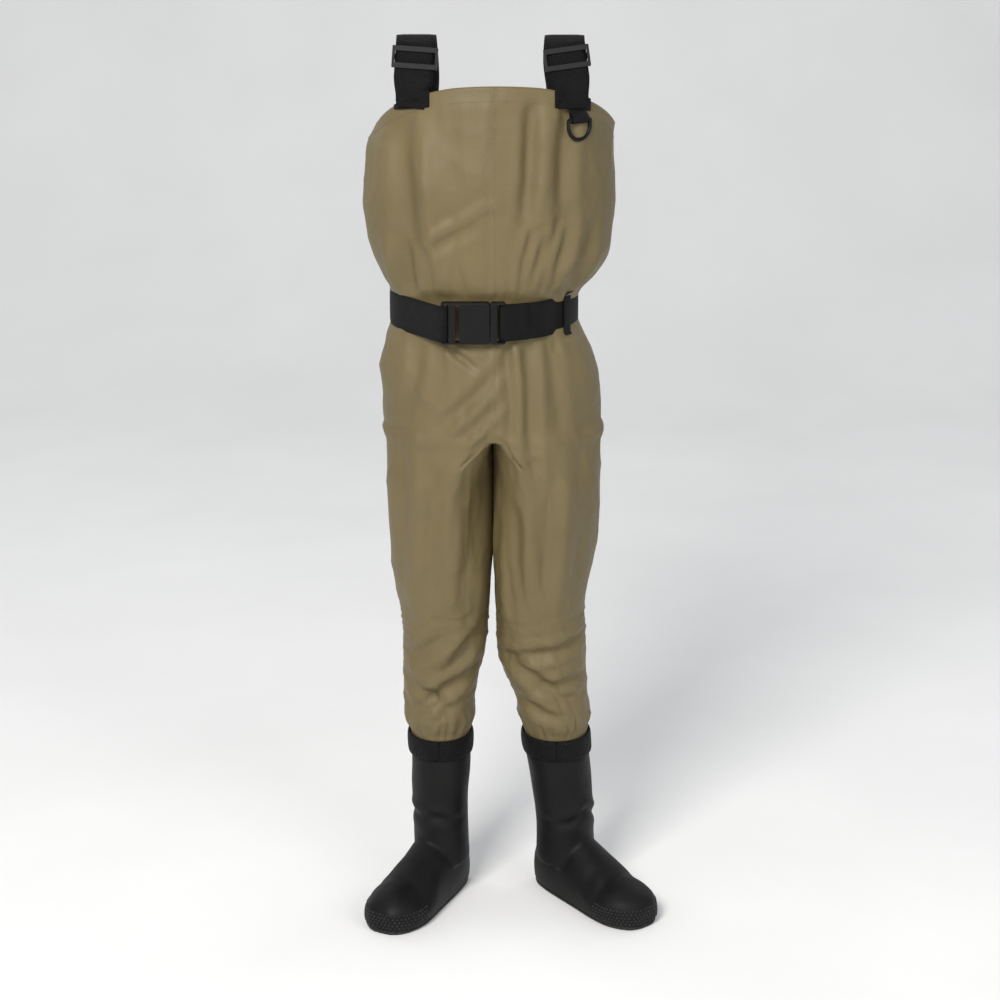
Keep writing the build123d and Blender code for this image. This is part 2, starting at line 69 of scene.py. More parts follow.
BELT_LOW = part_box("belt_webbing")[0].z / MM
BELT_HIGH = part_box("belt_webbing")[1].z / MM
BELT_Z = (BELT_HIGH + BELT_LOW) / 2
UP = Vector((0, 0, 1))
SIDES = (("left", 1), ("right", -1))
FAR = 600                 # rays start outside everything


def at(x, y, z):
    return Vector((MID_X + x * MM, MID_Y + y * MM, z * MM))


def local(point):
    """The millimetre place of a point in the frame."""
    return Vector(((point.x - MID_X) / MM, (point.y - MID_Y) / MM, point.z / MM))


def local_box(node):
    low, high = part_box(node)
    return local(low), local(high)


def ease(value):
    value = min(max(value, 0.0), 1.0)
    return value * value * (3 - 2 * value)


def surface_tree(names):
    """A search tree over the named CAD nodes, in millimetre places."""
    points = []
    faces = []
    for name in names:
        mesh = frame["nodes"][name].data
        start = len(points)
        points += [local(v.co) for v in mesh.vertices]
        faces += [[start + i for i in face.vertices] for face in mesh.polygons]
    return BVHTree.FromPolygons(points, faces)


# ------------------------------------------------------------------ materials
KHAKI = (0.137, 0.106, 0.047)
KHAKI_DARK = (0.119, 0.091, 0.039)
KHAKI_LIGHT = (0.157, 0.122, 0.056)
BLACK_WEB = (0.0026, 0.0026, 0.0028)
PLASTIC_BLACK = (0.003, 0.003, 0.0033)


def new_material(name, colour, roughness, shine=None):
    material = bpy.data.materials.new(name)
    material.use_nodes = True
    tree = material.node_tree
    shader = tree.nodes["Principled BSDF"]
    shader.inputs["Base Color"].default_value = (*colour, 1)
    shader.inputs["Roughness"].default_value = roughness
    if shine is not None:
        shader.inputs["Specular IOR Level"].default_value = shine
    return material, tree, shader


def add_node(tree, kind, **settings):
    node = tree.nodes.new(kind)
    for key, value in settings.items():
        if key in node.inputs:
            node.inputs[key].default_value = value
        else:
            setattr(node, key, value)
    return node


def coordinates(tree, uv=False, scale=(1, 1, 1)):
    """Texture places in metres: along the weave, or fixed to the object's own space."""
    source = add_node(tree, "ShaderNodeTexCoord")
    mapping = add_node(tree, "ShaderNodeMapping")
    mapping.inputs["Scale"].default_value = scale
    tree.links.new(source.outputs["UV" if uv else "Object"], mapping.inputs["Vector"])
    return mapping.outputs["Vector"]


def noise_node(tree, vector, scale, detail):
    node = add_node(tree, "ShaderNodeTexNoise", Scale=scale, Detail=detail)
    tree.links.new(vector, node.inputs["Vector"])
    return node.outputs["Fac"]


def ramp(tree, shader, value, low, high, dark, light):
    """Base colour that runs from dark to light as a value runs from low to high."""
    node = add_node(tree, "ShaderNodeValToRGB")
    node.color_ramp.elements[0].position = low
    node.color_ramp.elements[0].color = (*dark, 1)
    node.color_ramp.elements[1].position = high
    node.color_ramp.elements[1].color = (*light, 1)
    tree.links.new(value, node.inputs["Fac"])
    tree.links.new(node.outputs["Color"], shader.inputs["Base Color"])


def vary_roughness(tree, shader, value, low, span):
    rough = calculate(tree, "ADD", calculate(tree, "MULTIPLY", value, span), low)
    tree.links.new(rough, shader.inputs["Roughness"])


def calculate(tree, operation, first, second):
    node = add_node(tree, "ShaderNodeMath", operation=operation)
    for socket, value in zip(node.inputs, (first, second)):
        if isinstance(value, (int, float)):
            socket.default_value = value
        else:
            tree.links.new(value, socket)
    return node.outputs["Value"]


def bump(tree, shader, height, distance, strength=1.0, after=None):
    node = add_node(tree, "ShaderNodeBump", Distance=distance, Strength=strength)
    tree.links.new(height, node.inputs["Height"])
    if after is not None:
        tree.links.new(after, node.inputs["Normal"])
    tree.links.new(node.outputs["Normal"], shader.inputs["Normal"])
    return node.outputs["Normal"]


def weave_height(tree, warp, weft):
    """Threads crossing over and under each other, warp and weft per metre."""
    split = add_node(tree, "ShaderNodeSeparateXYZ")
    tree.links.new(coordinates(tree, True), split.inputs["Vector"])
    waves = []
    for axis, count in (("X", warp), ("Y", weft)):
        phase = calculate(tree, "MULTIPLY", split.outputs[axis], count * math.pi)
        waves.append(calculate(tree, "SINE", phase, 0))
    return calculate(tree, "MULTIPLY", *waves)


def cloth_material():
    """Coated khaki plain weave: fine threads, soft sheen and faint mottling."""
    material, tree, shader = new_material("khaki_cloth", KHAKI, 0.52, 0.3)
    place = coordinates(tree)
    blotch = noise_node(tree, place, 9, 5)
    thread = noise_node(tree, coordinates(tree, True, (40, 900, 1)), 1, 2)
    slub = noise_node(tree, coordinates(tree, True, (900, 40, 1)), 1, 2)
    tone = calculate(tree, "ADD", calculate(tree, "MULTIPLY", blotch, 0.6),
                     calculate(tree, "MULTIPLY", calculate(tree, "ADD", thread, slub), 0.2))
    ramp(tree, shader, tone, 0.3, 0.72, KHAKI_DARK, KHAKI_LIGHT)
    normal = bump(tree, shader, weave_height(tree, 1400, 1400), 0.00012, 0.35)
    bump(tree, shader, noise_node(tree, place, 75, 3), 0.0009, 0.35, after=normal)
    vary_roughness(tree, shader, blotch, 0.42, 0.14)
    return material


def webbing_material(name, colour, warp, weft, depth):
    """Woven webbing: warp cords across the band and weft rows along it, its colour mottled by random wear
    and given painted shade between the threads.
    """
    material, tree, shader = new_material(name, colour, 0.62, 0.16)
    height = weave_height(tree, warp, weft)
    bump(tree, shader, height, depth, 0.8)
    worn = noise_node(tree, coordinates(tree), 60, 4)
    # Colour value: random wear, plus the weave's height as painted shade, darker in the hollows between
    # threads and lighter on their crests.
    wear_and_weave_shade = calculate(tree, "ADD", worn, calculate(tree, "MULTIPLY", height, 0.25))
    light = tuple(channel * 1.8 + 0.001 for channel in colour)
    ramp(tree, shader, wear_and_weave_shade, 0.35, 0.95, colour, light)
    return material


def plastic_material():
    """Moulded black plastic with a fine spark-eroded texture, a little lighter in colour on its sharp outer
    edges.
    """
    material, tree, shader = new_material("buckle_plastic", PLASTIC_BLACK, 0.34, 0.2)
    place = coordinates(tree)
    bump(tree, shader, noise_node(tree, place, 2600, 2), 0.00006, 0.5)
    vary_roughness(tree, shader, noise_node(tree, place, 90, 3), 0.34, 0.2)
    # Base colour a little lighter where the surface is most convex, on the sharp outer edges.
    edge = add_node(tree, "ShaderNodeNewGeometry")
    ramp(tree, shader, edge.outputs["Pointiness"], 0.5, 0.62, PLASTIC_BLACK, (0.009, 0.009, 0.009))
    return material


def neoprene_material():
    """Smooth-skin neoprene: satin black with fine pores and broad scuffs."""
    material, tree, shader = new_material("neoprene", (0.006, 0.006, 0.0065), 0.42, 0.2)
    place = coordinates(tree)
    pores = add_node(tree, "ShaderNodeTexVoronoi", Scale=700.0)
    tree.links.new(place, pores.inputs["Vector"])
    normal = bump(tree, shader, pores.outputs["Distance"], 0.00018, 0.35)
    bump(tree, shader, noise_node(tree, place, 120, 4), 0.0006, 0.3, after=normal)
    scuff = noise_node(tree, place, 22, 6)
    vary_roughness(tree, shader, scuff, 0.42, 0.3)
    ramp(tree, shader, scuff, 0.4, 0.75, (0.0025, 0.0025, 0.0027), (0.0065, 0.0065, 0.0062))
    return material


def rubber_material():
    """Grip rubber on the soles: matte, dusty, finely pitted."""
    material, tree, shader = new_material("sole_rubber", (0.008, 0.008, 0.008), 0.6)
    place = coordinates(tree)
    bump(tree, shader, noise_node(tree, place, 900, 3), 0.00025, 0.5)
    ramp(tree, shader, noise_node(tree, place, 45, 5), 0.45, 0.8, (0.003, 0.003, 0.003),
         (0.011, 0.0105, 0.0095))
    return material


def thread_material():
    """Sewing thread, a shade darker than the cloth, twisted along its length."""
    material, tree, shader = new_material("thread", (0.16, 0.125, 0.065), 0.6)
    place = coordinates(tree)
    bump(tree, shader, noise_node(tree, place, 3000, 1), 0.0001, 0.6)
    ramp(tree, shader, noise_node(tree, place, 500, 2), 0.3, 0.7, (0.12, 0.095, 0.05),
         (0.21, 0.165, 0.09))
    return material


CLOTH = cloth_material()
WEBBING = webbing_material("belt_webbing", BLACK_WEB, 900, 620, 0.0005)
ELASTIC = webbing_material("strap_elastic", BLACK_WEB, 420, 900, 0.0006)
CUFF = webbing_material("cuff_knit", (0.002, 0.002, 0.0022), 700, 260, 0.0005)
PLASTIC = plastic_material()
NEOPRENE = neoprene_material()
RUBBER = rubber_material()
THREAD = thread_material()
BLACK_THREAD = webbing_material("black_thread", (0.006, 0.006, 0.006), 2000, 2000, 0.0001)


# ------------------------------------------------------------------ mesh helpers
BAND_ROWS = 6             # faces across a webbing band
SPLINE_STEPS = 8
STITCH_SIDES = 6
STITCH_PROFILE = ((0, 0.25, -0.35), (0.12, 0.9, 0.0), (0.5, 1.0, 0.22), (0.88, 0.9, 0.0),
                  (1, 0.25, -0.35))     # share of the length, share of the radius, lift


def new_object(name, data):
    obj = bpy.data.objects.new(name, data)
    bpy.context.scene.collection.objects.link(obj)
    return obj


def make_object(name, points, faces, material, uvs=None):
    """A smooth mesh object from millimetre places; uvs gives one pair per point, in metres."""
    mesh = bpy.data.meshes.new(name)
    mesh.from_pydata([at(*p) for p in points], [], faces)
    mesh.materials.append(material)
    if uvs:
        layer = mesh.uv_layers.new(name="weave")
        for loop in mesh.loops:
            layer.data[loop.index].uv = uvs[loop.vertex_index]
    mesh.update()
    mesh.shade_smooth()
    obj = new_object(name, mesh)
    return obj


def apply_modifiers(obj):
    """Bakes the modifiers into the mesh."""
    depsgraph = bpy.context.evaluated_depsgraph_get()
    depsgraph.update()
    baked = bpy.data.meshes.new_from_object(obj.evaluated_get(depsgraph), depsgraph=depsgraph)
    obj.modifiers.clear()
    if obj.data.shape_keys:
        obj.shape_key_clear()
    obj.data = baked


def modify(obj, kind, **settings):
    """Adds one modifier and bakes it into the mesh."""
    modifier = obj.modifiers.new(kind.lower(), kind)
    for key, value in settings.items():
        setattr(modifier, key, value)
    apply_modifiers(obj)


def edit_mesh(obj, change):
    mesh = bmesh.new()
    mesh.from_mesh(obj.data)
    change(mesh)
    mesh.to_mesh(obj.data)
    mesh.free()


def fix_normals(obj):
    edit_mesh(obj, lambda mesh: bmesh.ops.recalc_face_normals(mesh, faces=mesh.faces))


def sewn_on(piece, *nodes):
    """Fixes a finished piece to the body, in place of the CAD nodes it stands for."""
    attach(piece, "root")
    if nodes:
        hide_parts(*nodes)


def tube_faces(rings, count, start=0, closed=False):
    """Quads between neighbouring rings of points; closed joins the last ring to the first."""
    faces = []
    for r in range(rings if closed else rings - 1):
        low = start + r * count
        high = start + (r + 1) % rings * count
        for k in range(count):
            n = (k + 1) % count
            faces.append([low + k, low + n, high + n, high + k])
    return faces


def directions(centres):
    """The way a run points at each of its places."""
    last = len(centres) - 1
    return [(centres[min(i + 1, last)] - centres[max(i - 1, 0)]).normalized() for i in range(last + 1)]


def closed_band(name, centres, across, normals, width, thickness, material, shares=None):
    """A flat band with rounded selvedges along a run of centres, closed at both ends.

    shares gives the part of its full width that the band has at each centre."""
    profile = []
    for i in range(BAND_ROWS + 1):
        side = -1 + 2 * i / BAND_ROWS
        profile.append((side * width / 2, thickness / 2 * (1 - 0.55 * side ** 8)))
    profile += [(side, -height) for side, height in reversed(profile)]
    count = len(profile)
    points = []
    uvs = []
    length = 0.0
    for i, (centre, sideways, normal) in enumerate(zip(centres, across, normals)):
        if i:
            length += (centre - centres[i - 1]).length
        share = shares[i] if shares else 1.0
        for side, height in profile:
            points.append(centre + sideways * side * share + normal * height)
            uvs.append((side * MM, length * MM))
    faces = tube_faces(len(centres), count)
    last = (len(centres) - 1) * count
    for start, flip in ((0, False), (last, True)):
        for j in range(BAND_ROWS):
            quad = [start + j, start + j + 1, start + count - 2 - j, start + count - 1 - j]
            faces.append(quad if flip else quad[::-1])
    obj = make_object(name, points, faces, material, uvs)
    fix_normals(obj)
    return obj


def spline(points, steps):
    """A smooth run through the given places (Catmull-Rom)."""
    run = []
    padded = [points[0] * 2 - points[1], *points, points[-1] * 2 - points[-2]]
    for i in range(len(points) - 1):
        a, b, c, d = padded[i:i + 4]
        for step in range(steps):
            t = step / steps
            run.append(0.5 * ((2 * b) + (c - a) * t + (2 * a - 5 * b + 4 * c - d) * t * t
                              + (3 * b - a - 3 * c + d) * t * t * t))
    run.append(points[-1])
    return run


def stitches(name, run, normals, material, slot, length=2.6, gap=1.1, radius=0.32):
    """A row of separate thread stitches along a run of surface places."""
    points = []
    faces = []
    sides = STITCH_SIDES
    travelled = [0.0]
    for a, b in zip(run, run[1:]):
        travelled.append(travelled[-1] + (b - a).length)

    def sample(distance):
        index = 0
        while index < len(run) - 2 and travelled[index + 1] < distance:
            index += 1
        span = max(travelled[index + 1] - travelled[index], 1e-6)
        t = (distance - travelled[index]) / span
        return run[index].lerp(run[index + 1], t), normals[index].lerp(normals[index + 1], t).normalized()

    distance = 0.0
    while distance + length < travelled[-1]:
        first, up = sample(distance)
        last, _ = sample(distance + length)
        aside = (last - first).normalized().cross(up).normalized()
        start = len(points)
        for t, size, lift in STITCH_PROFILE:
            middle = first.lerp(last, t) + up * lift
            for k in range(sides):
                angle = 2 * math.pi * k / sides
                points.append(middle + (aside * math.cos(angle) + up * math.sin(angle)) * radius * size)
        faces += tube_faces(len(STITCH_PROFILE), sides, start)
        faces.append([start + k for k in range(sides)][::-1])
        faces.append([len(points) - sides + k for k in range(sides)])
        distance += length + gap
    obj = make_object(name, points, faces, material)
    fix_normals(obj)
    return obj


def piece_tree(obj):
    """A search tree over a finished piece, in millimetre places."""
    mesh = obj.data
    return BVHTree.FromPolygons([local(v.co) for v in mesh.vertices],
                                [list(face.vertices) for face in mesh.polygons])


# ------------------------------------------------------------------ garment outline
PANELS = ["front_panel_left", "front_panel_right", "back_panel_left", "back_panel_right",
          "inner_leg_left", "inner_leg_right"]
SHELL = surface_tree(PANELS)
TORSO_SEGMENTS = 112
STRIP_SEGMENTS = 40       # across the strip between the legs
STRIP_SAG = 5
ROW = 5.6                 # height of a row of faces
TORSO_GIRTH = 0.70        # metres round, for the weave
LEG_GIRTH = 0.42
CLOTH_THICKNESS = 1.2
SIDE_RAY_Y = 12           # where rays from the sides measure the outline
FRONT_RAY_X = 4           # where rays from front and back do
LEGS_PART = 372           # below this the legs stand apart
LEGS_CLOSE = 375          # above this they press on each other
BACK_TOP = 858            # above this the body is open at the back
HEM_LINE = [(-110, 933), (-88, 925), (-54, 906), (-15, 882), (40, 867), (110, 861)]    # (y, z)
_outlines = {}


def reach(start, direction):
    """Where a ray first meets the shell."""
    return SHELL.ray_cast(Vector(start), Vector(direction))[0]


def torso_outline(z):
    """Middle x, middle y, half width and half depth of the torso at one height."""
    key = round(z, 1)
    if key not in _outlines:
        if z > BACK_TOP:
            # the last full ring, drawn in a little and shifted as it rises
            x, y, a, b = torso_outline(BACK_TOP)
            up = z - BACK_TOP
            a *= 1 - 0.00095 * up - 0.0000075 * up * up
            b *= 1 - 0.00035 * up - 0.0000065 * up * up
            _outlines[key] = (x * (1 - up / 75 * 0.9) + 6 * ease(up / 26), y, a, b)
            return _outlines[key]
        right = reach((-FAR, SIDE_RAY_Y, z), (1, 0, 0)).x
        left = reach((FAR, SIDE_RAY_Y, z), (-1, 0, 0)).x
        front = reach((FRONT_RAY_X, -FAR, z), (0, 1, 0)).y
        back = reach((FRONT_RAY_X, FAR, z), (0, -1, 0)).y
        _outlines[key] = ((left + right) / 2, (front + back) / 2, (left - right) / 2, (back - front) / 2)
    return _outlines[key]


def hem_at(y):
    """Height of the top edge at one place from front to back."""
    if y <= HEM_LINE[0][0]:
        return HEM_LINE[0][1]
    for (y0, z0), (y1, z1) in zip(HEM_LINE, HEM_LINE[1:]):
        if y <= y1:
            return z0 + (z1 - z0) * (y - y0) / (y1 - y0)
    return HEM_LINE[-1][1]


def hem_height(angle):
    """Height of the top edge at an angle counted from the front."""
    z = 900.0
    for _ in range(8):
        _, y, _, b = torso_outline(z)
        z = (z + hem_at(y - b * math.cos(angle))) / 2
    return z


def measure_leg(side, z):
    """Widest x, inner and outer half widths, middle y and half depth of one leg."""
    inner = reach((side * 0.01, SIDE_RAY_Y, z), (side, 0, 0)).x * side
    inner = min(inner, 0.5) + max(inner - 0.5, 0) * ease((LEGS_PART - z) / 60)
    outer = reach((side * FAR, SIDE_RAY_Y, z), (-side, 0, 0)).x * side
    drop = (CROTCH_Z - z) / 62
    widest = (inner + outer) / 2 * min(drop, 1) ** 0.9
    for shift in (3, 6, 10, 15):      # a ray can slip through a gap between panels
        front = reach((side * (widest + shift), -FAR, z), (0, 1, 0))
        back = reach((side * (widest + shift), FAR, z), (0, -1, 0))
        if front and back:
            break
    return widest, widest - inner, outer - widest, (front.y + back.y) / 2, (back.y - front.y) / 2


LEG_STEP = 6.0            # between two measured heights
_legs = {}


def leg_outline(side, z):
    """The leg's outline at one height, free of stray readings."""
    if side not in _legs:
        count = int((CROTCH_Z - LEG_BOTTOM - 2) / LEG_STEP)
        raw = [measure_leg(side, CROTCH_Z - 1 - LEG_STEP * i) for i in range(count + 1)]
        clean = []
        for i in range(len(raw)):
            near = raw[max(i - 2, 0):i + 3]
            clean.append([sorted(values)[len(values) // 2] for values in zip(*near)])
        _legs[side] = [list(raw[0]), *clean[1:-1], list(raw[-1])]
    table = _legs[side]
    place = min(max((CROTCH_Z - 1 - z) / LEG_STEP, 0), len(table) - 1.001)
    index = int(place)
    t = place - index
    return [a + (b - a) * t for a, b in zip(table[index], table[index + 1])]


# Folds in the cloth, as lines seen from the front: from (x, z) to (x, z), width and
# depth. A positive depth is a crease that goes in, a negative one a ridge.
FOLD_GAIN = 1.35
FOLD_WANDER = 2.2         # how far a fold strays from its line
FRONT_FOLDS = [
    ((-92, 885), (-84, 715), 12, 5.0), ((-70, 880), (-60, 725), 16, -2.5),
    ((-8, 797), (-74, 752), 7, 2.4), ((-2, 806), (-66, 764), 8, -2.0),
    ((27, 708), (41, 780), 4.5, 3.4), ((36, 708), (53, 784), 4.5, 3.6),
    ((46, 708), (66, 788), 5, 3.2), ((56, 710), (84, 800), 6, 2.8),
    ((40, 905), (33, 790), 7, 3.2), ((76, 900), (70, 792), 8, 4.2),
    ((56, 905), (50, 780), 9, -3.0), ((-30, 708), (-36, 752), 5, 2.2),
    ((-58, 708), (-70, 760), 6, 2.6), ((-84, 708), (-100, 770), 7, 3.4),
    ((80, 708), (104, 778), 7, 3.4), ((14, 664), (19, 568), 6, 3.2),
    ((37, 664), (44, 500), 7, 3.2), ((62, 664), (72, 560), 8, 2.4),
    ((-50, 664), (-24, 640), 4, 2.2), ((-44, 658), (-14, 632), 4, 1.8),
    ((-74, 664), (-88, 590), 7, 2.6), ((3, 632), (-50, 574), 7, 3.2),
    ((8, 600), (-34, 560), 6, 2.2), ((-12, 328), (-50, 286), 8, 5.5),
    ((-20, 283), (-80, 240), 8, 5.5), ((-92, 268), (-46, 236), 7, 4.0),
    ((-60, 322), (-98, 290), 8, 3.5), ((18, 300), (100, 316), 7, 5.0),
    ((16, 296), (80, 252), 8, 5.5), ((48, 262), (106, 276), 7, 4.0),
    ((30, 246), (70, 226), 6, 3.5), ((-62, 540), (-70, 380), 11, 3.0),
    ((-98, 560), (-96, 400), 11, 3.0), ((60, 500), (52, 350), 11, 3.0),
    ((96, 560), (92, 380), 11, 3.0), ((24, 470), (30, 340), 8, 2.5),
    ((-20, 470), (-30, 350), 8, 2.5),
]
BACK_FOLDS = [
    ((-60, 710), (-78, 800), 7, 3.0), ((-36, 708), (-44, 780), 6, 3.0),
    ((-12, 708), (-10, 760), 6, 2.4), ((14, 708), (20, 770), 6, 3.0),
    ((40, 708), (54, 790), 7, 3.2), ((66, 710), (90, 800), 8, 3.0),
    ((-70, 662), (-84, 590), 8, 3.0), ((-40, 662), (-44, 600), 7, 2.6),
    ((-4, 664), (-2, 600), 6, 2.4), ((36, 662), (44, 596), 7, 2.8),
    ((66, 662), (84, 600), 8, 2.8), ((-6, 566), (-80, 530), 9, 4.0),
    ((6, 566), (84, 528), 9, 4.0), ((-30, 520), (-90, 500), 8, 3.0),
    ((-24, 400), (-92, 384), 8, 4.0), ((-20, 372), (-88, 352), 8, 3.6),
    ((14, 398), (92, 380), 8, 4.0), ((16, 366), (90, 348), 8, 3.6),
    ((-30, 268), (-86, 246), 8, 5.0), ((-34, 236), (-84, 222), 6, 4.0),
    ((34, 270), (96, 250), 8, 5.0), ((44, 240), (100, 224), 6, 4.0),
]


def fold_depth(x, z, folds):
    """How far all the folds together push the cloth in at one place."""
    total = 0.0
    for (x0, z0), (x1, z1), width, depth in folds:
        run = Vector((x1 - x0, z1 - z0))
        offset = Vector((x - x0, z - z0))
        t = offset.dot(run) / run.length_squared
        near = min(max(t, 0), 1)
        end = (t - near) * run.length
        aside = (run.x * offset.y - run.y * offset.x) / run.length
        aside += FOLD_WANDER * math.sin(t * 5.0 + x0) * near
        taper = math.sin(math.pi * min(max(0.12 + 0.76 * near, 0), 1)) ** 0.6
        away = (end / (width * 1.2)) ** 2
        if aside > 4 * width or away > 9:
            continue
        spread = math.exp(-(abs(aside) / width) ** 1.5 - away)
        ridge = math.exp(-((abs(aside) - 1.7 * width) / (0.8 * width)) ** 2 - away)
        total += depth * taper * (spread - 0.5 * ridge)
    return total


def cloth_grid():
    """Points, faces, uvs and row names of the whole garment skin, hem to ankles.

    The torso's rows are closed rings. At the crotch each ring splits in two, and the
    two halves share a strip that runs from back to front between the legs."""
    n = TORSO_SEGMENTS
    half = n // 2
    points = []
    uvs = []
    info = []
    hems = [hem_height(2 * math.pi * i / n) for i in range(n)]
    top = max(hems)
    rows = int((top - CROTCH_Z) / ROW)
    for r in range(rows + 1):
        level = CROTCH_Z + (top - CROTCH_Z) * r / rows
        bend = ease((level - BELT_HIGH - 10) / (top - BELT_HIGH - 10))
        for i in range(n):
            angle = 2 * math.pi * i / n
            z = level + (hems[i] - top) * bend
            x, y, a, b = torso_outline(max(z, CROTCH_Z + 0.5))
            points.append(Vector((x + a * math.sin(angle), y - b * math.cos(angle), z)))
            uvs.append((angle / (2 * math.pi) * TORSO_GIRTH, z * MM))
            info.append(("torso", r, i))
    faces = tube_faces(rows + 1, n)
    strip = []
    _, y, _, b = torso_outline(CROTCH_Z + 0.5)
    for k in range(1, STRIP_SEGMENTS):
        angle = math.pi * (1 + k / STRIP_SEGMENTS)
        sag = STRIP_SAG * math.sin(math.pi * k / STRIP_SEGMENTS)
        strip.append(len(points))
        points.append(Vector((0, y - b * math.cos(angle), CROTCH_Z - sag)))
        uvs.append((0.5 * TORSO_GIRTH + 0.2 * k / STRIP_SEGMENTS, CROTCH_Z * MM))
        info.append(("strip", 0, k))
    leg_rows = int((CROTCH_Z - LEG_BOTTOM) / ROW)
    for side in (1, -1):
        ring = [(side * j) % n for j in range(half + 1)] + strip
        for r in range(1, leg_rows + 1):
            z = CROTCH_Z - (CROTCH_Z - LEG_BOTTOM - 1) * r / leg_rows
            widest, inner, outer, middle_y, depth = leg_outline(side, z)
            new_ring = []
            for m in range(half + STRIP_SEGMENTS):
                if m <= half:
                    angle = math.pi * m / half
                    width = outer
                else:
                    angle = math.pi * (1 + (m - half) / STRIP_SEGMENTS)
                    width = inner
                new_ring.append(len(points))
                points.append(Vector((side * (widest + width * math.sin(angle)),
                                      middle_y - depth * math.cos(angle), z)))
                uvs.append((side * angle / (2 * math.pi) * LEG_GIRTH, z * MM))
                info.append(("leg", r, m))
            for m in range(len(ring)):
                k = (m + 1) % len(ring)
                quad = [new_ring[m], new_ring[k], ring[k], ring[m]]
                faces.append(quad if side > 0 else quad[::-1])
            ring = new_ring
    return points, faces, uvs, info, rows, leg_rows


def inflate(points, faces, amount):
    """The points, each moved along its own normal."""
    normals = [Vector() for _ in points]
    for face in faces:
        a, b, c, d = (points[i] for i in face)
        normal = (c - a).cross(d - b)
        for i in face:
            normals[i] += normal
    return [p + n.normalized() * amount for p, n in zip(points, normals)]


SIM_FRAMES = 26
SIM_CAP = 9.0             # the furthest the cloth may settle
SIM_BODY_INSET = 5.5
SIM_DISTANCE = 0.0015
SIM_SETTINGS = {"quality": 6, "mass": 0.12, "tension_stiffness": 25, "compression_stiffness": 25,
                "shear_stiffness": 12, "bending_stiffness": 0.25, "tension_damping": 12,
                "compression_damping": 12, "shear_damping": 12, "bending_damping": 0.8,
                "air_damping": 2, "pin_stiffness": 8, "use_pressure": True,
                "uniform_pressure_force": 0.7}
REST_Z = 686              # the cloth's rest shape is a little larger about this height
LEG_X = 58                # and about the middle of each leg
SEAM_DEPTH = 0.9


def settle_cloth(obj, points, faces, pins, rest):
    """Lets the cloth buckle over a slightly smaller body, then bakes the result."""
    scene = bpy.context.scene
    obj.shape_key_add(name="Basis")
    key = obj.shape_key_add(name="rest")
    for i, place in enumerate(rest):
        key.data[i].co = at(*place)
    key.value = 0.0
    group = obj.vertex_groups.new(name="pins")
    group.add(pins, 1.0, "REPLACE")
    body = make_object("inner_body", inflate(points, faces, -SIM_BODY_INSET), faces, CLOTH)
    body.modifiers.new("collide", "COLLISION")
    body.collision.thickness_outer = SIM_DISTANCE
    cloth = obj.modifiers.new("cloth", "CLOTH")
    settings = cloth.settings
    for name, value in SIM_SETTINGS.items():
        setattr(settings, name, value)
    settings.rest_shape_key = key
    settings.vertex_group_mass = "pins"
    settings.effector_weights.gravity = 0.5
    cloth.collision_settings.use_self_collision = False
    cloth.collision_settings.distance_min = SIM_DISTANCE
    for timed in (cloth.point_cache, scene):
        timed.frame_start = 1
        timed.frame_end = SIM_FRAMES
    for number in range(1, SIM_FRAMES + 1):
        scene.frame_set(number)
    apply_modifiers(obj)
    scene.frame_set(1)
    bpy.data.objects.remove(body, do_unlink=True)


def garment():
    """The khaki bib and legs as one skin with thickness."""
    points, faces, uvs, info, rows, leg_rows = cloth_grid()
    obj = make_object("waders_cloth", points, faces, CLOTH, uvs)
    last_row = {"torso": rows, "leg": leg_rows, "strip": 3}
    pins = []
    rest = []
    for index, (place, (part, r, _)) in enumerate(zip(points, info)):
        if r >= last_row[part] - 2 or BELT_LOW - 2 < place.z < BELT_HIGH + 2:
            pins.append(index)
        centre = 0 if part == "torso" else (LEG_X if place.x > 0 else -LEG_X)
        rest.append(Vector((centre + (place.x - centre) * 1.04, place.y * 1.04,
                            REST_Z + (place.z - REST_Z) * 1.05)))
    settle_cloth(obj, points, faces, pins, rest)
    for vertex, start, (part, _, _) in zip(obj.data.vertices, points, info):
        move = local(vertex.co) - start
        if move.length > SIM_CAP:
            move *= SIM_CAP / move.length
        settled = start + move
        if part == "leg":
            side = 1 if start.x > 0 else -1
            away = abs(settled.x)
            close = ease((settled.z - LEGS_CLOSE) / 50)
            away -= 7 * close * max(1 - away / 10, 0)
            settled.x = side * max(away, 0.1 + 0.3 * (1 - close)) + close * slit(settled)
        vertex.co = at(*settled)
    edit_mesh(obj, lambda mesh: bmesh.ops.smooth_vert(
        mesh, verts=[v for v in mesh.verts if not v.is_boundary], factor=0.35,
        use_axis_x=True, use_axis_y=True, use_axis_z=True))
    seam_columns(obj, info)
    modify(obj, "SUBSURF", levels=1, render_levels=1)
    crease_cloth(obj)
    modify(obj, "SOLIDIFY", thickness=CLOTH_THICKNESS * MM, offset=-1, use_even_offset=False)
    obj.data.shade_smooth()
    tapes = [f"seam_tape_{place}" for place in ("front", "back", "side_left", "side_right", "outseam_left",
                                                "outseam_right", "inseam_left", "inseam_right")]
    sewn_on(obj, *PANELS, "hem_facing", "back_elastic", *tapes)
    return obj


def slit(place):
    """Sideways wander of the line where the two legs touch."""
    wave = 1.1 * math.sin(place.y * 0.07 + 1)
    return wave * ease((place.z - LEGS_CLOSE) / 50) * ease((CROTCH_Z - place.z) / 20)


def calm(place):
    """How free the cloth is to fold: nothing at the hem, the belt and the cuffs."""
    free = 1.0
    if place.z > BELT_Z:
        free *= ease((place.z - BELT_HIGH - 1) / 14) * ease((hem_at(place.y) - place.z - 4) / 22)
    else:
        free *= ease((BELT_LOW - 1 - place.z) / 14) * ease((place.z - LEG_BOTTOM - 14) / 14)
    return free


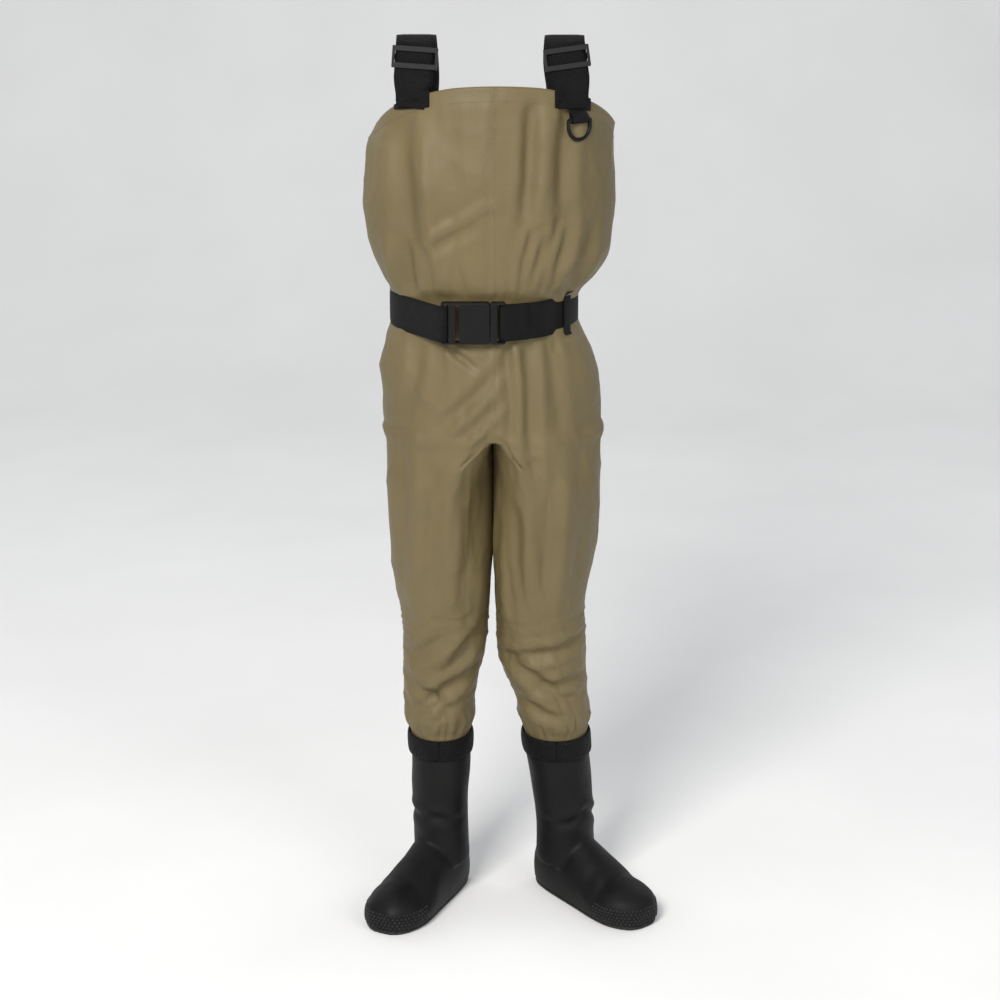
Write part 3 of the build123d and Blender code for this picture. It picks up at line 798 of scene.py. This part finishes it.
def crumple(place):
    """Fine irregular creases: upright on the body, level round the knees."""
    level = ease((360 - place.z) / 60)
    stretched = Vector((place.x, place.y * 0.8, place.z * (0.42 + 0.75 * level)))
    skew = Vector((stretched.x + 0.35 * stretched.z, stretched.y, stretched.z - 0.25 * stretched.x))
    coarse = (1 - abs(noise.noise(skew * 0.024 + Vector((9, 2, 4)))) * 2) ** 3
    fine = (1 - abs(noise.noise(skew * 0.055 + Vector((1, 7, 3)))) * 2) ** 3
    broad = noise.noise(place * 0.012 + Vector((4, 4, 8)))
    return 1.5 * coarse + 0.6 * fine + 2.4 * broad


def gathers(place):
    """Small pleats where the belt and the cuffs draw the cloth in."""
    total = 0.0
    around_body = math.atan2(place.x + 9, -place.y)
    spread = noise.noise(Vector((math.cos(around_body), math.sin(around_body), 0)) * 2.6)
    above = math.exp(-((place.z - BELT_HIGH - 13) / 13) ** 2)
    below = math.exp(-((BELT_LOW - 12 - place.z) / 12) ** 2)
    pleat = math.sin(around_body * 31 + 7 * spread)
    total += 1.25 * (above + 0.8 * below) * pleat * (0.5 + spread)
    if place.z < 260:
        middle = 70 if place.x > 0 else -59
        turn = math.atan2(place.x - middle, 20 - place.y)
        spread = noise.noise(Vector((math.cos(turn), math.sin(turn), middle)) * 2.2)
        near = math.exp(-((place.z - LEG_BOTTOM - 26) / 13) ** 2)
        total += 1.1 * near * math.sin(turn * 23 + 6 * spread)
        total += 2.6 * math.exp(-((place.z - LEG_BOTTOM - 34) / 12) ** 2)
    return total


def crease_cloth(obj):
    """Adds the folds, the fine creases and the gathers to the settled cloth."""
    starts = [(local(v.co), v.normal.copy()) for v in obj.data.vertices]
    for vertex, (place, normal) in zip(obj.data.vertices, starts):
        folds = FRONT_FOLDS if normal.y < 0 else BACK_FOLDS
        facing = ease(abs(normal.y) * 1.6 - 0.1)
        push = -FOLD_GAIN * fold_depth(place.x, place.z, folds) * facing + crumple(place)
        between = ease((abs(place.x) - 1.5) / 6) if place.z < CROTCH_Z - 4 else 1.0
        middle = ease(abs(place.x) / 12 if place.z < CROTCH_Z else 1.0)
        push = push * calm(place) * between + gathers(place) * middle
        if BELT_LOW - 1 < place.z < BELT_HIGH + 1 or place.z < LEG_BOTTOM + 13:
            push = 0.0
        moved = place + normal * push
        if place.z < CROTCH_Z - 6:
            line = slit(place)
            side = 1 if place.x > line else -1
            moved.x = line + side * max(side * (moved.x - line), 0.1)
        vertex.co = at(*moved)


def seam_columns(obj, info):
    """Draws the cloth in a little along its seams: centre front, centre back and sides."""
    mesh = obj.data
    quarter = TORSO_SEGMENTS // 4
    seam = set()
    for index, (part, _, i) in enumerate(info):
        if part == "torso" and i % quarter == 0 or part == "leg" and i == quarter:
            seam.add(index)
    normals = {index: mesh.vertices[index].normal.copy() for index in seam}
    for index in seam:
        mesh.vertices[index].co -= normals[index] * SEAM_DEPTH * MM
    crease = mesh.attributes.get("crease_edge") or mesh.attributes.new("crease_edge", "FLOAT", "EDGE")
    for edge in mesh.edges:
        if edge.vertices[0] in seam and edge.vertices[1] in seam:
            crease.data[edge.index].value = 0.75


# ------------------------------------------------------------------ skin places
def skin_place(skin, start, direction, fallback=None):
    """Surface place and outward normal where a ray meets a finished piece."""
    hit, normal, _, _ = skin.ray_cast(Vector(start), Vector(direction))
    if hit is None:
        return fallback
    if normal.dot(Vector(direction)) > 0:
        normal = -normal
    return hit, normal


def seen_place(tree, x, z, facing=-1, fallback=None):
    """Surface place and normal seen from the front, or from behind if facing is 1."""
    return skin_place(tree, (x, facing * FAR, z), (0, -facing, 0), fallback)


def around(skin, angle, z):
    """Surface place at an angle counted from the front toward the left."""
    x, y, a, b = torso_outline(z)
    inward = Vector((-math.sin(angle) / a, math.cos(angle) / b, 0)).normalized()
    spot = Vector((x + a * math.sin(angle), y - b * math.cos(angle), z))
    return skin_place(skin, spot - inward * 60, inward, (spot, -inward))


# ------------------------------------------------------------------ stitching
HEM_STITCH = 15           # below the top edge
THREAD_LIFT = 0.12


def hem_stitching(skin):
    run = []
    normals = []
    for i in range(361):
        angle = math.radians(i)
        place, normal = around(skin, angle, hem_height(angle) - HEM_STITCH)
        run.append(place + normal * THREAD_LIFT)
        normals.append(normal)
    sewn_on(stitches("hem_stitching", run, normals, THREAD, "khaki_cloth"))


def seam_stitching(skin):
    """Top stitching beside the centre-front seam, above the belt and below it."""
    for name, low, high in (("seam_stitching_chest", BELT_HIGH + 3, 930),
                            ("seam_stitching_front", CROTCH_Z + 4, BELT_LOW - 3)):
        run = []
        normals = []
        for z in range(int(high), int(low), -4):
            found = seen_place(skin, 2.6, z)
            if found is None or found[0].y > 0:
                continue
            run.append(found[0] + found[1] * THREAD_LIFT)
            normals.append(found[1])
        sewn_on(stitches(name, run, normals, THREAD, "khaki_cloth"))


# ------------------------------------------------------------------ patches sewn on the cloth
PATCH_ROWS = 12
PATCH_LIFT = 0.25


def patch(name, skin, columns, facing, thickness, material):
    """A sewn patch that follows the cloth: columns gives (x, low z, high z)."""
    rows = PATCH_ROWS
    outer = []
    uvs = []
    for x, low, high in columns:
        last = (Vector((x, facing * 80, low)), Vector((0, facing, 0)))
        for r in range(rows + 1):
            z = low + (high - low) * r / rows
            place, normal = seen_place(skin, x, z, facing, last)
            last = (Vector((x, place.y, z)), normal)
            outer.append(last)
            uvs.append((x * MM, z * MM))
    total = len(outer)
    points = [place + normal * (PATCH_LIFT + thickness) for place, normal in outer]
    points += [place + normal * PATCH_LIFT for place, normal in outer]
    count = rows + 1
    width = len(columns)
    faces = []
    for c in range(width - 1):
        for r in range(rows):
            a = c * count + r
            quad = [a, a + count, a + count + 1, a + 1]
            faces.append(quad)
            faces.append([i + total for i in quad[::-1]])
    edge = [(c * count, (c + 1) * count) for c in range(width - 1)]
    edge += [((width - 1) * count + r, (width - 1) * count + r + 1) for r in range(rows)]
    edge += [((c + 1) * count + rows, c * count + rows) for c in range(width - 1)]
    edge += [(r + 1, r) for r in range(rows)]
    faces += [[b, a, a + total, b + total] for a, b in edge]
    piece = make_object(name, points, faces, material, uvs * 2)
    fix_normals(piece)
    modify(piece, "BEVEL", width=0.4 * MM, segments=2, limit_method="ANGLE", angle_limit=math.radians(50))
    return piece


TAB_INNER = 63
TAB_OUTER = 99
TAB_LOW = 899
BACK_TAB_HALF = 23
BACK_TAB_MIDDLE = 70
BACK_TAB_HEIGHTS = (832, 862)


def tabs(skin):
    """The webbing tabs on the front of the bib, and the patches at the back."""
    for name, side in SIDES:
        columns = []
        for i in range(13):
            x = side * (TAB_INNER + (TAB_OUTER - TAB_INNER) * i / 12)
            found = seen_place(skin, x, 895)
            y = found[0].y if found else -70
            columns.append((x, TAB_LOW + 6 * (1 - i / 12), hem_at(y) - 0.8))
        tab = patch(f"strap_tab_{name}_webbing", skin, columns, -1, 1.8, ELASTIC)
        sewn_on(tab, f"strap_tab_{name}")
        box_stitch(f"strap_tab_{name}_stitching", tab, side, (66, 96), (903, 912), -1)
        middle = side * BACK_TAB_MIDDLE
        columns = [(middle + BACK_TAB_HALF * (2 * i / 12 - 1), *BACK_TAB_HEIGHTS) for i in range(13)]
        back = patch(f"back_tab_{name}_patch", skin, columns, 1, 1.5, CLOTH)
        sewn_on(back, f"back_tab_{name}")
        box_stitch(f"back_tab_{name}_stitching", back, 1, (middle - 20, middle + 20), (835, 859), 1)


def box_stitch(name, piece, side, xs, zs, facing):
    """A box of stitches with one diagonal, through a sewn patch."""
    tree = piece_tree(piece)
    (x0, x1), (z0, z1) = xs, zs
    route = [(x0, z0), (x1, z0), (x1, z1), (x0, z1), (x0, z0), (x1, z1)]
    run = []
    normals = []
    for (xa, za), (xb, zb) in zip(route, route[1:]):
        for i in range(12):
            t = i / 12
            found = seen_place(tree, side * (xa + (xb - xa) * t), za + (zb - za) * t, facing)
            if found:
                run.append(found[0] + found[1] * 0.1)
                normals.append(found[1])
    finish = (THREAD, "khaki_cloth") if facing > 0 else (BLACK_THREAD, "webbing")
    sewn_on(stitches(name, run, normals, *finish, 2.2, 1.0, 0.26))


# ------------------------------------------------------------------ shoulder straps
STRAP_WIDTH = 40
STRAP_THICKNESS = 2.0
STRAP_SEWN = 903          # height of the lowest stitches in front
STRAP_STRAIGHT = 48       # length of the flat front part
STRAP_FOOT = (80, -77.5, 921)
STRAP_BACK = (72, 86, 866)
STRAP_TILT = 10           # degrees backward
STRAP_LEAN = {1: 8, -1: 4}              # degrees toward the neck, left and right
STRAP_TURN = 30


def strap_route(side):
    """Centres up the straight front of one strap, and over the shoulder to its back end."""
    lean = math.radians(STRAP_LEAN[side])
    tilt = math.radians(STRAP_TILT)
    direction = Vector((-side * math.sin(lean), math.sin(tilt), math.cos(tilt))).normalized()
    foot = Vector((side * STRAP_FOOT[0], STRAP_FOOT[1], STRAP_FOOT[2]))
    shoulder = foot + direction * STRAP_STRAIGHT
    crown = shoulder + Vector((0, 30, 4))
    back = Vector((side * STRAP_BACK[0], STRAP_BACK[1], STRAP_BACK[2]))
    straight = [foot + direction * (STRAP_STRAIGHT * i / 12) for i in range(12)]
    over = spline([shoulder - direction * 6, shoulder, crown, Vector((crown.x, 42, 940)),
                   Vector((side * 76, 77, 905)), back], SPLINE_STEPS)[SPLINE_STEPS:]
    return straight, over


def strap_turn(centre):
    """Degrees the webbing turns about the vertical: it lies flat on the cloth at both ends."""
    if centre.y < 0:
        return STRAP_TURN * (1 - ease((centre.z - STRAP_SEWN) / 26))
    return -STRAP_TURN * 1.1 * ease((938 - centre.z) / 50)


def strap_frames(centres, side):
    """Sideways direction and outward normal of a strap at each of its centres."""
    across = []
    normals = []
    for centre, run in zip(centres, directions(centres)):
        turn = math.radians(side * strap_turn(centre))
        level = Vector((math.cos(turn), math.sin(turn), 0))
        wide = (level - run * level.dot(run)).normalized()
        across.append(wide)
        normals.append(wide.cross(run).normalized())
    return across, normals


def straps(skin):
    """Each strap in two bands that meet at the crown, sewn to the body at their lower ends."""
    for name, side in SIDES:
        straight, over = strap_route(side)
        lead = []
        for z in (STRAP_SEWN, STRAP_SEWN + 5, STRAP_SEWN + 10):
            x = side * (81 - 0.12 * (z - STRAP_SEWN))
            place, normal = seen_place(skin, x, z, -1, (Vector((x, -71, z)), Vector((0, -1, 0))))
            lead.append(Vector((x, place.y, z)) + normal * 3.4)
        joined = spline([*lead, straight[2], straight[3]], 3)[:-4]
        centres = joined + straight[2:] + over
        crown = len(joined) + len(straight) - 2 + SPLINE_STEPS
        across, normals = strap_frames(centres, side)
        shares = [0.84 + 0.16 * ease((centre.z - 912) / 22) for centre in centres[:crown + 1]]
        front = closed_band(f"shoulder_strap_{name}_front", centres[:crown + 1], across[:crown + 1],
                            normals[:crown + 1], STRAP_WIDTH, STRAP_THICKNESS, ELASTIC,
                            shares)
        end = centres[-1]
        place, normal = seen_place(skin, end.x, 850, 1, (Vector((end.x, 92, 850)), Vector((0, 1, 0))))
        hold = place + normal * 3.0
        back = closed_band(f"shoulder_strap_{name}_back", centres[crown:] + [end.lerp(hold, 0.5), hold],
                           across[crown:] + [across[-1]] * 2, normals[crown:] + [normals[-1]] * 2,
                           STRAP_WIDTH, STRAP_THICKNESS, ELASTIC)
        for piece, sewn, free in ((front, lead[0], straight[2]), (back, hold, (side * 76, 78, 902))):
            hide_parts(f"shoulder_strap_{name}")
            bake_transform(piece)


# ------------------------------------------------------------------ waist belt
BELT_WIDTH = BELT_HIGH - BELT_LOW
BELT_LIFT = 1.6           # middle of the webbing above the cloth
WEBBING_THICKNESS = 2.0
SIDE_LOOP_Y = -42
SOCKET_SIDE_Y = -45       # where the belt leaves the body toward the socket
PLUG_SIDE_Y = -54         # and toward the plug
BELT_STEPS = 120


def belt_angle(y, side):
    """The angle where the belt's line crosses one y, on one side."""
    _, middle, _, half = torso_outline(BELT_Z)
    return side * math.acos((middle - y) / half)


def belt_point(angle, lift=BELT_LIFT):
    x, y, a, b = torso_outline(BELT_Z)
    normal = Vector((math.sin(angle) / a, -math.cos(angle) / b, 0)).normalized()
    return Vector((x + a * math.sin(angle), y - b * math.cos(angle), BELT_Z)) + normal * lift


def level(x, y):
    """A place at the height of the belt's middle."""
    return Vector((x, y, BELT_Z))


def belt_band(name, centres):
    normals = [run.cross(UP).normalized() for run in directions(centres)]
    return closed_band(name, centres, [UP] * len(centres), normals, BELT_WIDTH, WEBBING_THICKNESS,
                       WEBBING)


def belt_round_body():
    """The webbing from the socket's slot, round the back, to the left belt loop."""
    corner_x = local_box("buckle_socket")[0].x
    face = surface_tree(["buckle_socket"]).ray_cast(level(corner_x + 2, -FAR), Vector((0, 1, 0)))[0]
    rim = face.y - 1.25
    start = belt_angle(SOCKET_SIDE_Y, -1)
    turn = 2 * math.pi + start - belt_angle(SIDE_LOOP_Y, 1)
    run = [belt_point(start - turn * i / BELT_STEPS) for i in range(BELT_STEPS + 1)]
    corner = level(corner_x - 1.6, rim + 1.2)
    lead = spline([level(corner_x + 7.0, rim + 9.5), level(corner_x + 6.6, rim + 3.0),
                   level(corner_x + 3.2, rim), corner, corner.lerp(run[0], 0.33),
                   corner.lerp(run[0], 0.66), run[0], run[4]], SPLINE_STEPS)
    sewn_on(belt_band("waist_belt", lead[:-1] + run[4:]), "belt_webbing")


def belt_plug_side():
    """The end folded round the plug's bar, and the webbing from there to the left belt loop."""
    low, high = local_box("belt_end_loop")
    middle = (low.y + high.y) / 2
    front = low.y + 1.0
    rear = high.y - 1.0
    first = belt_angle(PLUG_SIDE_Y, 1)
    last = belt_angle(SIDE_LOOP_Y, 1) - 0.012
    side_run = [belt_point(first + (last - first) * i / 40) for i in range(41)]
    away = spline([level(16, rear - 0.3), level(34, -84.5), level(52, -74.0), side_run[0], side_run[3]],
                  SPLINE_STEPS)[:-SPLINE_STEPS]
    outer = []
    for place, ahead in zip(away, away[1:]):
        if place.x > high.x + 2:
            break
        outer.append(place + (ahead - place).normalized().cross(UP) * 2.35)
    fold = outer[:2:-1] + [level(13.5, front + 0.2), level(11.8, front)]
    for i in range(1, 8):
        angle = math.pi * i / 8
        fold.append(level(low.x + 4 - 3 * math.sin(angle), middle - (middle - front) * math.cos(angle)))
    fold += [level(11.8, rear), level(13.8, rear)]
    tail = belt_band("waist_belt_plug_side", fold + away + side_run[1:])
    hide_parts("belt_end_loop")
    tree = piece_tree(tail)
    run = []
    normals = []
    heights = [BELT_Z - 17 + 34 * i / 16 for i in range(17)]
    for x, column in ((high.x - 4, heights), (high.x - 9, heights[::-1])):
        for z in column:
            place, normal = seen_place(tree, x, z)
            run.append(place + normal * 0.05)
            normals.append(normal)
    sewn = stitches("waist_belt_stitching", run, normals, BLACK_THREAD, "webbing", 2.4, 0.9, 0.3)
    for piece in (tail, sewn):
        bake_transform(piece)


def belt_loops(skin):
    """Three narrow webbing loops, sewn above and below the belt."""
    low, high = local_box("belt_loop_left")
    half = (high.z - low.z) / 2 - 4
    spots = {"left": belt_angle(SIDE_LOOP_Y, 1), "right": belt_angle(20, -1), "back": math.pi}
    for name, angle in spots.items():
        clear = belt_point(angle, BELT_LIFT + WEBBING_THICKNESS / 2 + 1.4)
        centres = []
        across = []
        normals = []
        for i in range(33):
            z = BELT_Z - half + 2 * half * i / 32
            _, _, a, b = torso_outline(z)
            outward = Vector((math.sin(angle) / a, -math.cos(angle) / b, 0)).normalized()
            sewn = around(skin, angle, z)[0] + outward * 1.1
            over = 1 - ease((abs(z - BELT_Z) - 19.5) / 4)
            centres.append(sewn.lerp(Vector((clear.x, clear.y, z)), over))
            across.append(Vector((-outward.y, outward.x, 0)))
            normals.append(outward)
        band = closed_band(f"belt_loop_{name}_webbing", centres, across, normals, 12, 1.3, WEBBING)
        sewn_on(band, f"belt_loop_{name}")


# ------------------------------------------------------------------ D-ring loop
RING_LOOP_ROUTE = [(-5.0, 12), (-2.2, 8.5), (1.6, 5.0), (3.05, 1.5), (2.6, -1.6), (0.9, -2.95),
                   (-1.0, -2.9), (-2.7, -1.5), (-3.1, 1.0), (-3.8, 5), (-4.4, 9)]     # (out, up)


def ring_loop():
    """Narrow webbing folded round the D-ring's bar, its two ends behind the strap tab."""
    joint = next(j for j in frame["joints"] if j["name"] == "ring_swing")
    bar = local(Vector(joint["pos_m"]))
    along = Vector(joint["axis"]).normalized()
    outward = UP.cross(along).normalized()
    if outward.y > 0:
        outward = -outward
    centres = spline([bar + outward * u + Vector((0, 0, v)) for u, v in RING_LOOP_ROUTE], 4)
    normals = [along.cross(run).normalized() for run in directions(centres)]
    band = closed_band("d_ring_webbing", centres, [along] * len(centres), normals, 20, 1.3,
                       WEBBING)
    sewn_on(band, "d_ring_loop")


# ------------------------------------------------------------------ booties
BEND_CREASES = ((-1.9, 0, 4.5), (1.6, 9, 6), (1.0, -11, 6))    # push, height over the bend, width
UNDER_CUFF = 168
DOT_PROFILE = ((1.0, -0.5), (0.95, 0.15), (0.6, 0.75))         # share of the radius, lift


def moulded(node, name, voxel, passes):
    """A new piece that starts as a CAD node, remeshed evenly and softened."""
    source = frame["nodes"][node].data
    mesh = bpy.data.meshes.new(name)
    mesh.from_pydata([tuple(v.co) for v in source.vertices], [],
                     [list(face.vertices) for face in source.polygons])
    obj = new_object(name, mesh)
    edit_mesh(obj, lambda made: bmesh.ops.remove_doubles(made, verts=made.verts, dist=0.00002))
    modify(obj, "REMESH", mode="VOXEL", voxel_size=voxel * MM)
    modify(obj, "SMOOTH", factor=0.5, iterations=passes)
    return obj


def cover(obj, material, node):
    """Gives a moulded piece its material and puts it in place of its CAD node."""
    obj.data.materials.append(material)
    obj.data.shade_smooth()
    sewn_on(obj, node)


def bootie_push(place, ahead, sideways, side):
    """How far the neoprene bulges or creases at one place."""
    front = ease((ahead + 5) / 30)
    bend = 104 - 0.28 * abs(sideways) + 3 * math.sin(sideways * 0.12 + side)
    push = 0.0
    for depth, above, width in BEND_CREASES:
        push += depth * front * math.exp(-((place.z - bend - above) / width) ** 2)
    over = ease((ahead - 45) / 25) * ease((place.z - 14) / 10)
    push += over * 1.5 * noise.noise(Vector((ahead, sideways, place.z)) * 0.045 + Vector((side * 7, 0, 0)))
    push += -1.7 * over * math.exp(-((ahead - 92) / 9) ** 2)
    push += 1.2 * noise.noise(place * 0.03 + Vector((0, side * 5, 3))) * ease((place.z - 10) / 20)
    if place.z > UNDER_CUFF:
        push = -1.1 * ease((place.z - UNDER_CUFF) / 4)
    return push * ease((place.z - 5) / 6)


def booties():
    for name, side in SIDES:
        low, high = local_box(f"bootie_{name}")
        cuff_low, cuff_high = local_box(f"ankle_cuff_{name}")
        centre = Vector(((cuff_low.x + cuff_high.x) / 2 + (8 if side > 0 else 0), 20, 0))
        toe = Vector((high.x if side > 0 else low.x, low.y, 0))
        heading = (toe - centre).normalized()
        aside = Vector((-heading.y, heading.x, 0))
        skin = moulded(f"bootie_{name}", f"bootie_{name}_neoprene", 2.0, 8)
        starts = [(local(vertex.co), vertex.normal.copy()) for vertex in skin.data.vertices]
        for vertex, (place, normal) in zip(skin.data.vertices, starts):
            offset = place - centre
            place = place + normal * bootie_push(place, offset.dot(heading), offset.dot(aside), side)
            place.z = max(place.z, low.z + 0.2)
            vertex.co = at(*place)
        cover(skin, NEOPRENE, f"bootie_{name}")
        sole = moulded(f"bootie_sole_{name}", f"bootie_{name}_sole", 1.6, 4)
        for vertex in sole.data.vertices:
            vertex.co.z = max(vertex.co.z, 0.0001)
        cover(sole, RUBBER, f"bootie_sole_{name}")
        grip_dots(name, side, piece_tree(skin), centre, heading, aside)


def grip_dots(name, side, tree, centre, heading, aside):
    """Rubber nubs moulded round the lower edge of the toe."""
    random.seed(5 + side)
    points = []
    faces = []
    for row in range(6):
        middle = centre + heading * 96 + UP * (4.5 + row * 3.6)
        for i in range(34):
            angle = math.radians(-100 + 200 * (i + 0.5 * (row % 2)) / 34)
            direction = heading * math.cos(angle) + aside * math.sin(angle)
            found = skin_place(tree, middle + direction * 120, -direction)
            if found is None or (found[0] - middle).length > 75:
                continue
            place, normal = found
            radius = 1.45 * random.uniform(0.8, 1.15)
            tangent = normal.cross(UP).normalized()
            other = normal.cross(tangent).normalized()
            place = place + tangent * random.uniform(-0.5, 0.5)
            if place.z - radius < 0.3:
                continue
            base = len(points)
            for size, lift in DOT_PROFILE:
                for k in range(8):
                    turn = math.pi * 2 * k / 8
                    points.append(place + (tangent * math.cos(turn) + other * math.sin(turn)) * radius * size
                                  + normal * lift)
            points += [place + normal * 0.95, place - normal * 0.6]
            faces += tube_faces(3, 8, base)
            for k in range(8):
                n = (k + 1) % 8
                faces += [[base + 16 + k, base + 16 + n, base + 24], [base + n, base + k, base + 25]]
    dots = make_object(f"bootie_{name}_grip", points, faces, RUBBER)
    fix_normals(dots)
    sewn_on(dots)


# ------------------------------------------------------------------ ankle cuffs
CUFF_ROWS = 10
CUFF_SEGMENTS = 144


def cuffs():
    """Ribbed stretch bands, drawn in at the bottom and rolled at the top."""
    for name, _ in SIDES:
        node = f"ankle_cuff_{name}"
        tree = surface_tree([node])
        low, high = local_box(node)
        middle = (low + high) / 2
        profile = []
        for i in range(CUFF_ROWS + 1):
            t = i / CUFF_ROWS
            out = 0.6 * math.sin(math.pi * t) + 0.5 - 0.7 * abs(2 * t - 1) ** 6
            profile.append((low.z + 0.4 + (high.z - low.z - 0.8) * t, out))
        inside = [(z, out - 2.4 + 0.9 * abs(2 * (z - low.z) / (high.z - low.z) - 1) ** 6)
                  for z, out in reversed(profile)]
        points = []
        uvs = []
        for z, out in profile + inside:
            probe = Vector((middle.x, middle.y, min(max(z, low.z + 1.5), high.z - 1.5)))
            for k in range(CUFF_SEGMENTS):
                angle = 2 * math.pi * k / CUFF_SEGMENTS
                direction = Vector((math.sin(angle), -math.cos(angle), 0))
                radius = (tree.ray_cast(probe + direction * 100, -direction)[0] - probe).length
                rib = 0.16 * math.sin(angle * 48) if out > -1 else 0
                points.append(Vector((middle.x, middle.y, z)) + direction * (radius + out + rib))
                uvs.append((angle * 0.035, z * MM))
        faces = tube_faces(2 * len(profile), CUFF_SEGMENTS, closed=True)
        band = make_object(f"{node}_band", points, faces, CUFF, uvs)
        fix_normals(band)
        sewn_on(band, node)


# ------------------------------------------------------------------ camera and light
CAMERA = at(8, -2550, 1210)
CAMERA_PITCH = 16.2       # degrees below level
CAMERA_LENS = 87.7        # on a 36 mm sensor


def camera():
    data = bpy.data.cameras.new("camera")
    data.lens = CAMERA_LENS
    data.sensor_width = 36
    data.clip_start = 0.1
    data.clip_end = 50
    obj = new_object("camera", data)
    obj.location = CAMERA
    obj.rotation_euler = (math.radians(90 - CAMERA_PITCH), 0, 0)
    bpy.context.scene.camera = obj


def area_light(name, place, size, power, colour=(1, 1, 1)):
    """A soft rectangular light aimed at the middle of the waders."""
    data = bpy.data.lights.new(name, "AREA")
    data.shape = "RECTANGLE"
    data.size, data.size_y = size
    data.energy = power
    data.color = colour
    obj = new_object(name, data)
    obj.location = at(*place)
    obj.rotation_euler = (at(0, 0, 500) - at(*place)).to_track_quat("-Z", "Y").to_euler()


def studio():
    """A pale floor that curves up into a pale wall, and soft lights."""
    profile = [(-5000, 0), (2200, 0)]
    for i in range(1, 9):
        angle = math.pi / 2 * i / 8
        profile.append((2200 + 1200 * math.sin(angle), 1200 - 1200 * math.cos(angle)))
    profile.append((3400, 6000))
    points = [Vector((x, y, z - 0.3)) for y, z in profile for x in (-6000, 6000)]
    faces = [[2 * i, 2 * i + 1, 2 * i + 3, 2 * i + 2] for i in range(len(profile) - 1)]
    material, tree, shader = new_material("studio_floor", (0.86, 0.86, 0.85), 0.8)
    ramp(tree, shader, noise_node(tree, coordinates(tree), 3, 3), 0.3, 0.7, (0.84, 0.84, 0.83),
         (0.88, 0.88, 0.87))
    make_object("studio_floor", points, faces, material)
    world = bpy.data.worlds.new("studio")
    bpy.context.scene.world = world
    bpy.context.scene.view_settings.view_transform = "Standard"
    world.use_nodes = True
    background = world.node_tree.nodes["Background"]
    background.inputs["Color"].default_value = (0.93, 0.95, 1.0, 1)
    background.inputs["Strength"].default_value = 0.5
    area_light("key", (-900, -2300, 2300), (1.0, 1.0), 84, (1.0, 0.98, 0.95))
    area_light("fill", (1500, -1900, 1300), (1.4, 1.8), 14)
    area_light("back_left", (-1700, 1500, 1900), (1.0, 1.6), 7)
    area_light("back_right", (1700, 1500, 1900), (1.0, 1.6), 7)


def keep_cad_nodes():
    """Plastic parts keep their CAD shape and take the moulded plastic."""
    for name in ("buckle_socket", "buckle_plug", "prong_upper", "prong_lower",
                 "strap_adjuster_left", "strap_adjuster_right", "d_ring"):
        obj = frame["nodes"][name]
        obj.data.materials.clear()
        obj.data.materials.append(PLASTIC)


cloth = garment()
SKIN = piece_tree(cloth)
hem_stitching(SKIN)
seam_stitching(SKIN)
tabs(SKIN)
straps(SKIN)
belt_round_body()
belt_plug_side()
belt_loops(SKIN)
ring_loop()
booties()
cuffs()
keep_cad_nodes()
camera()
studio()
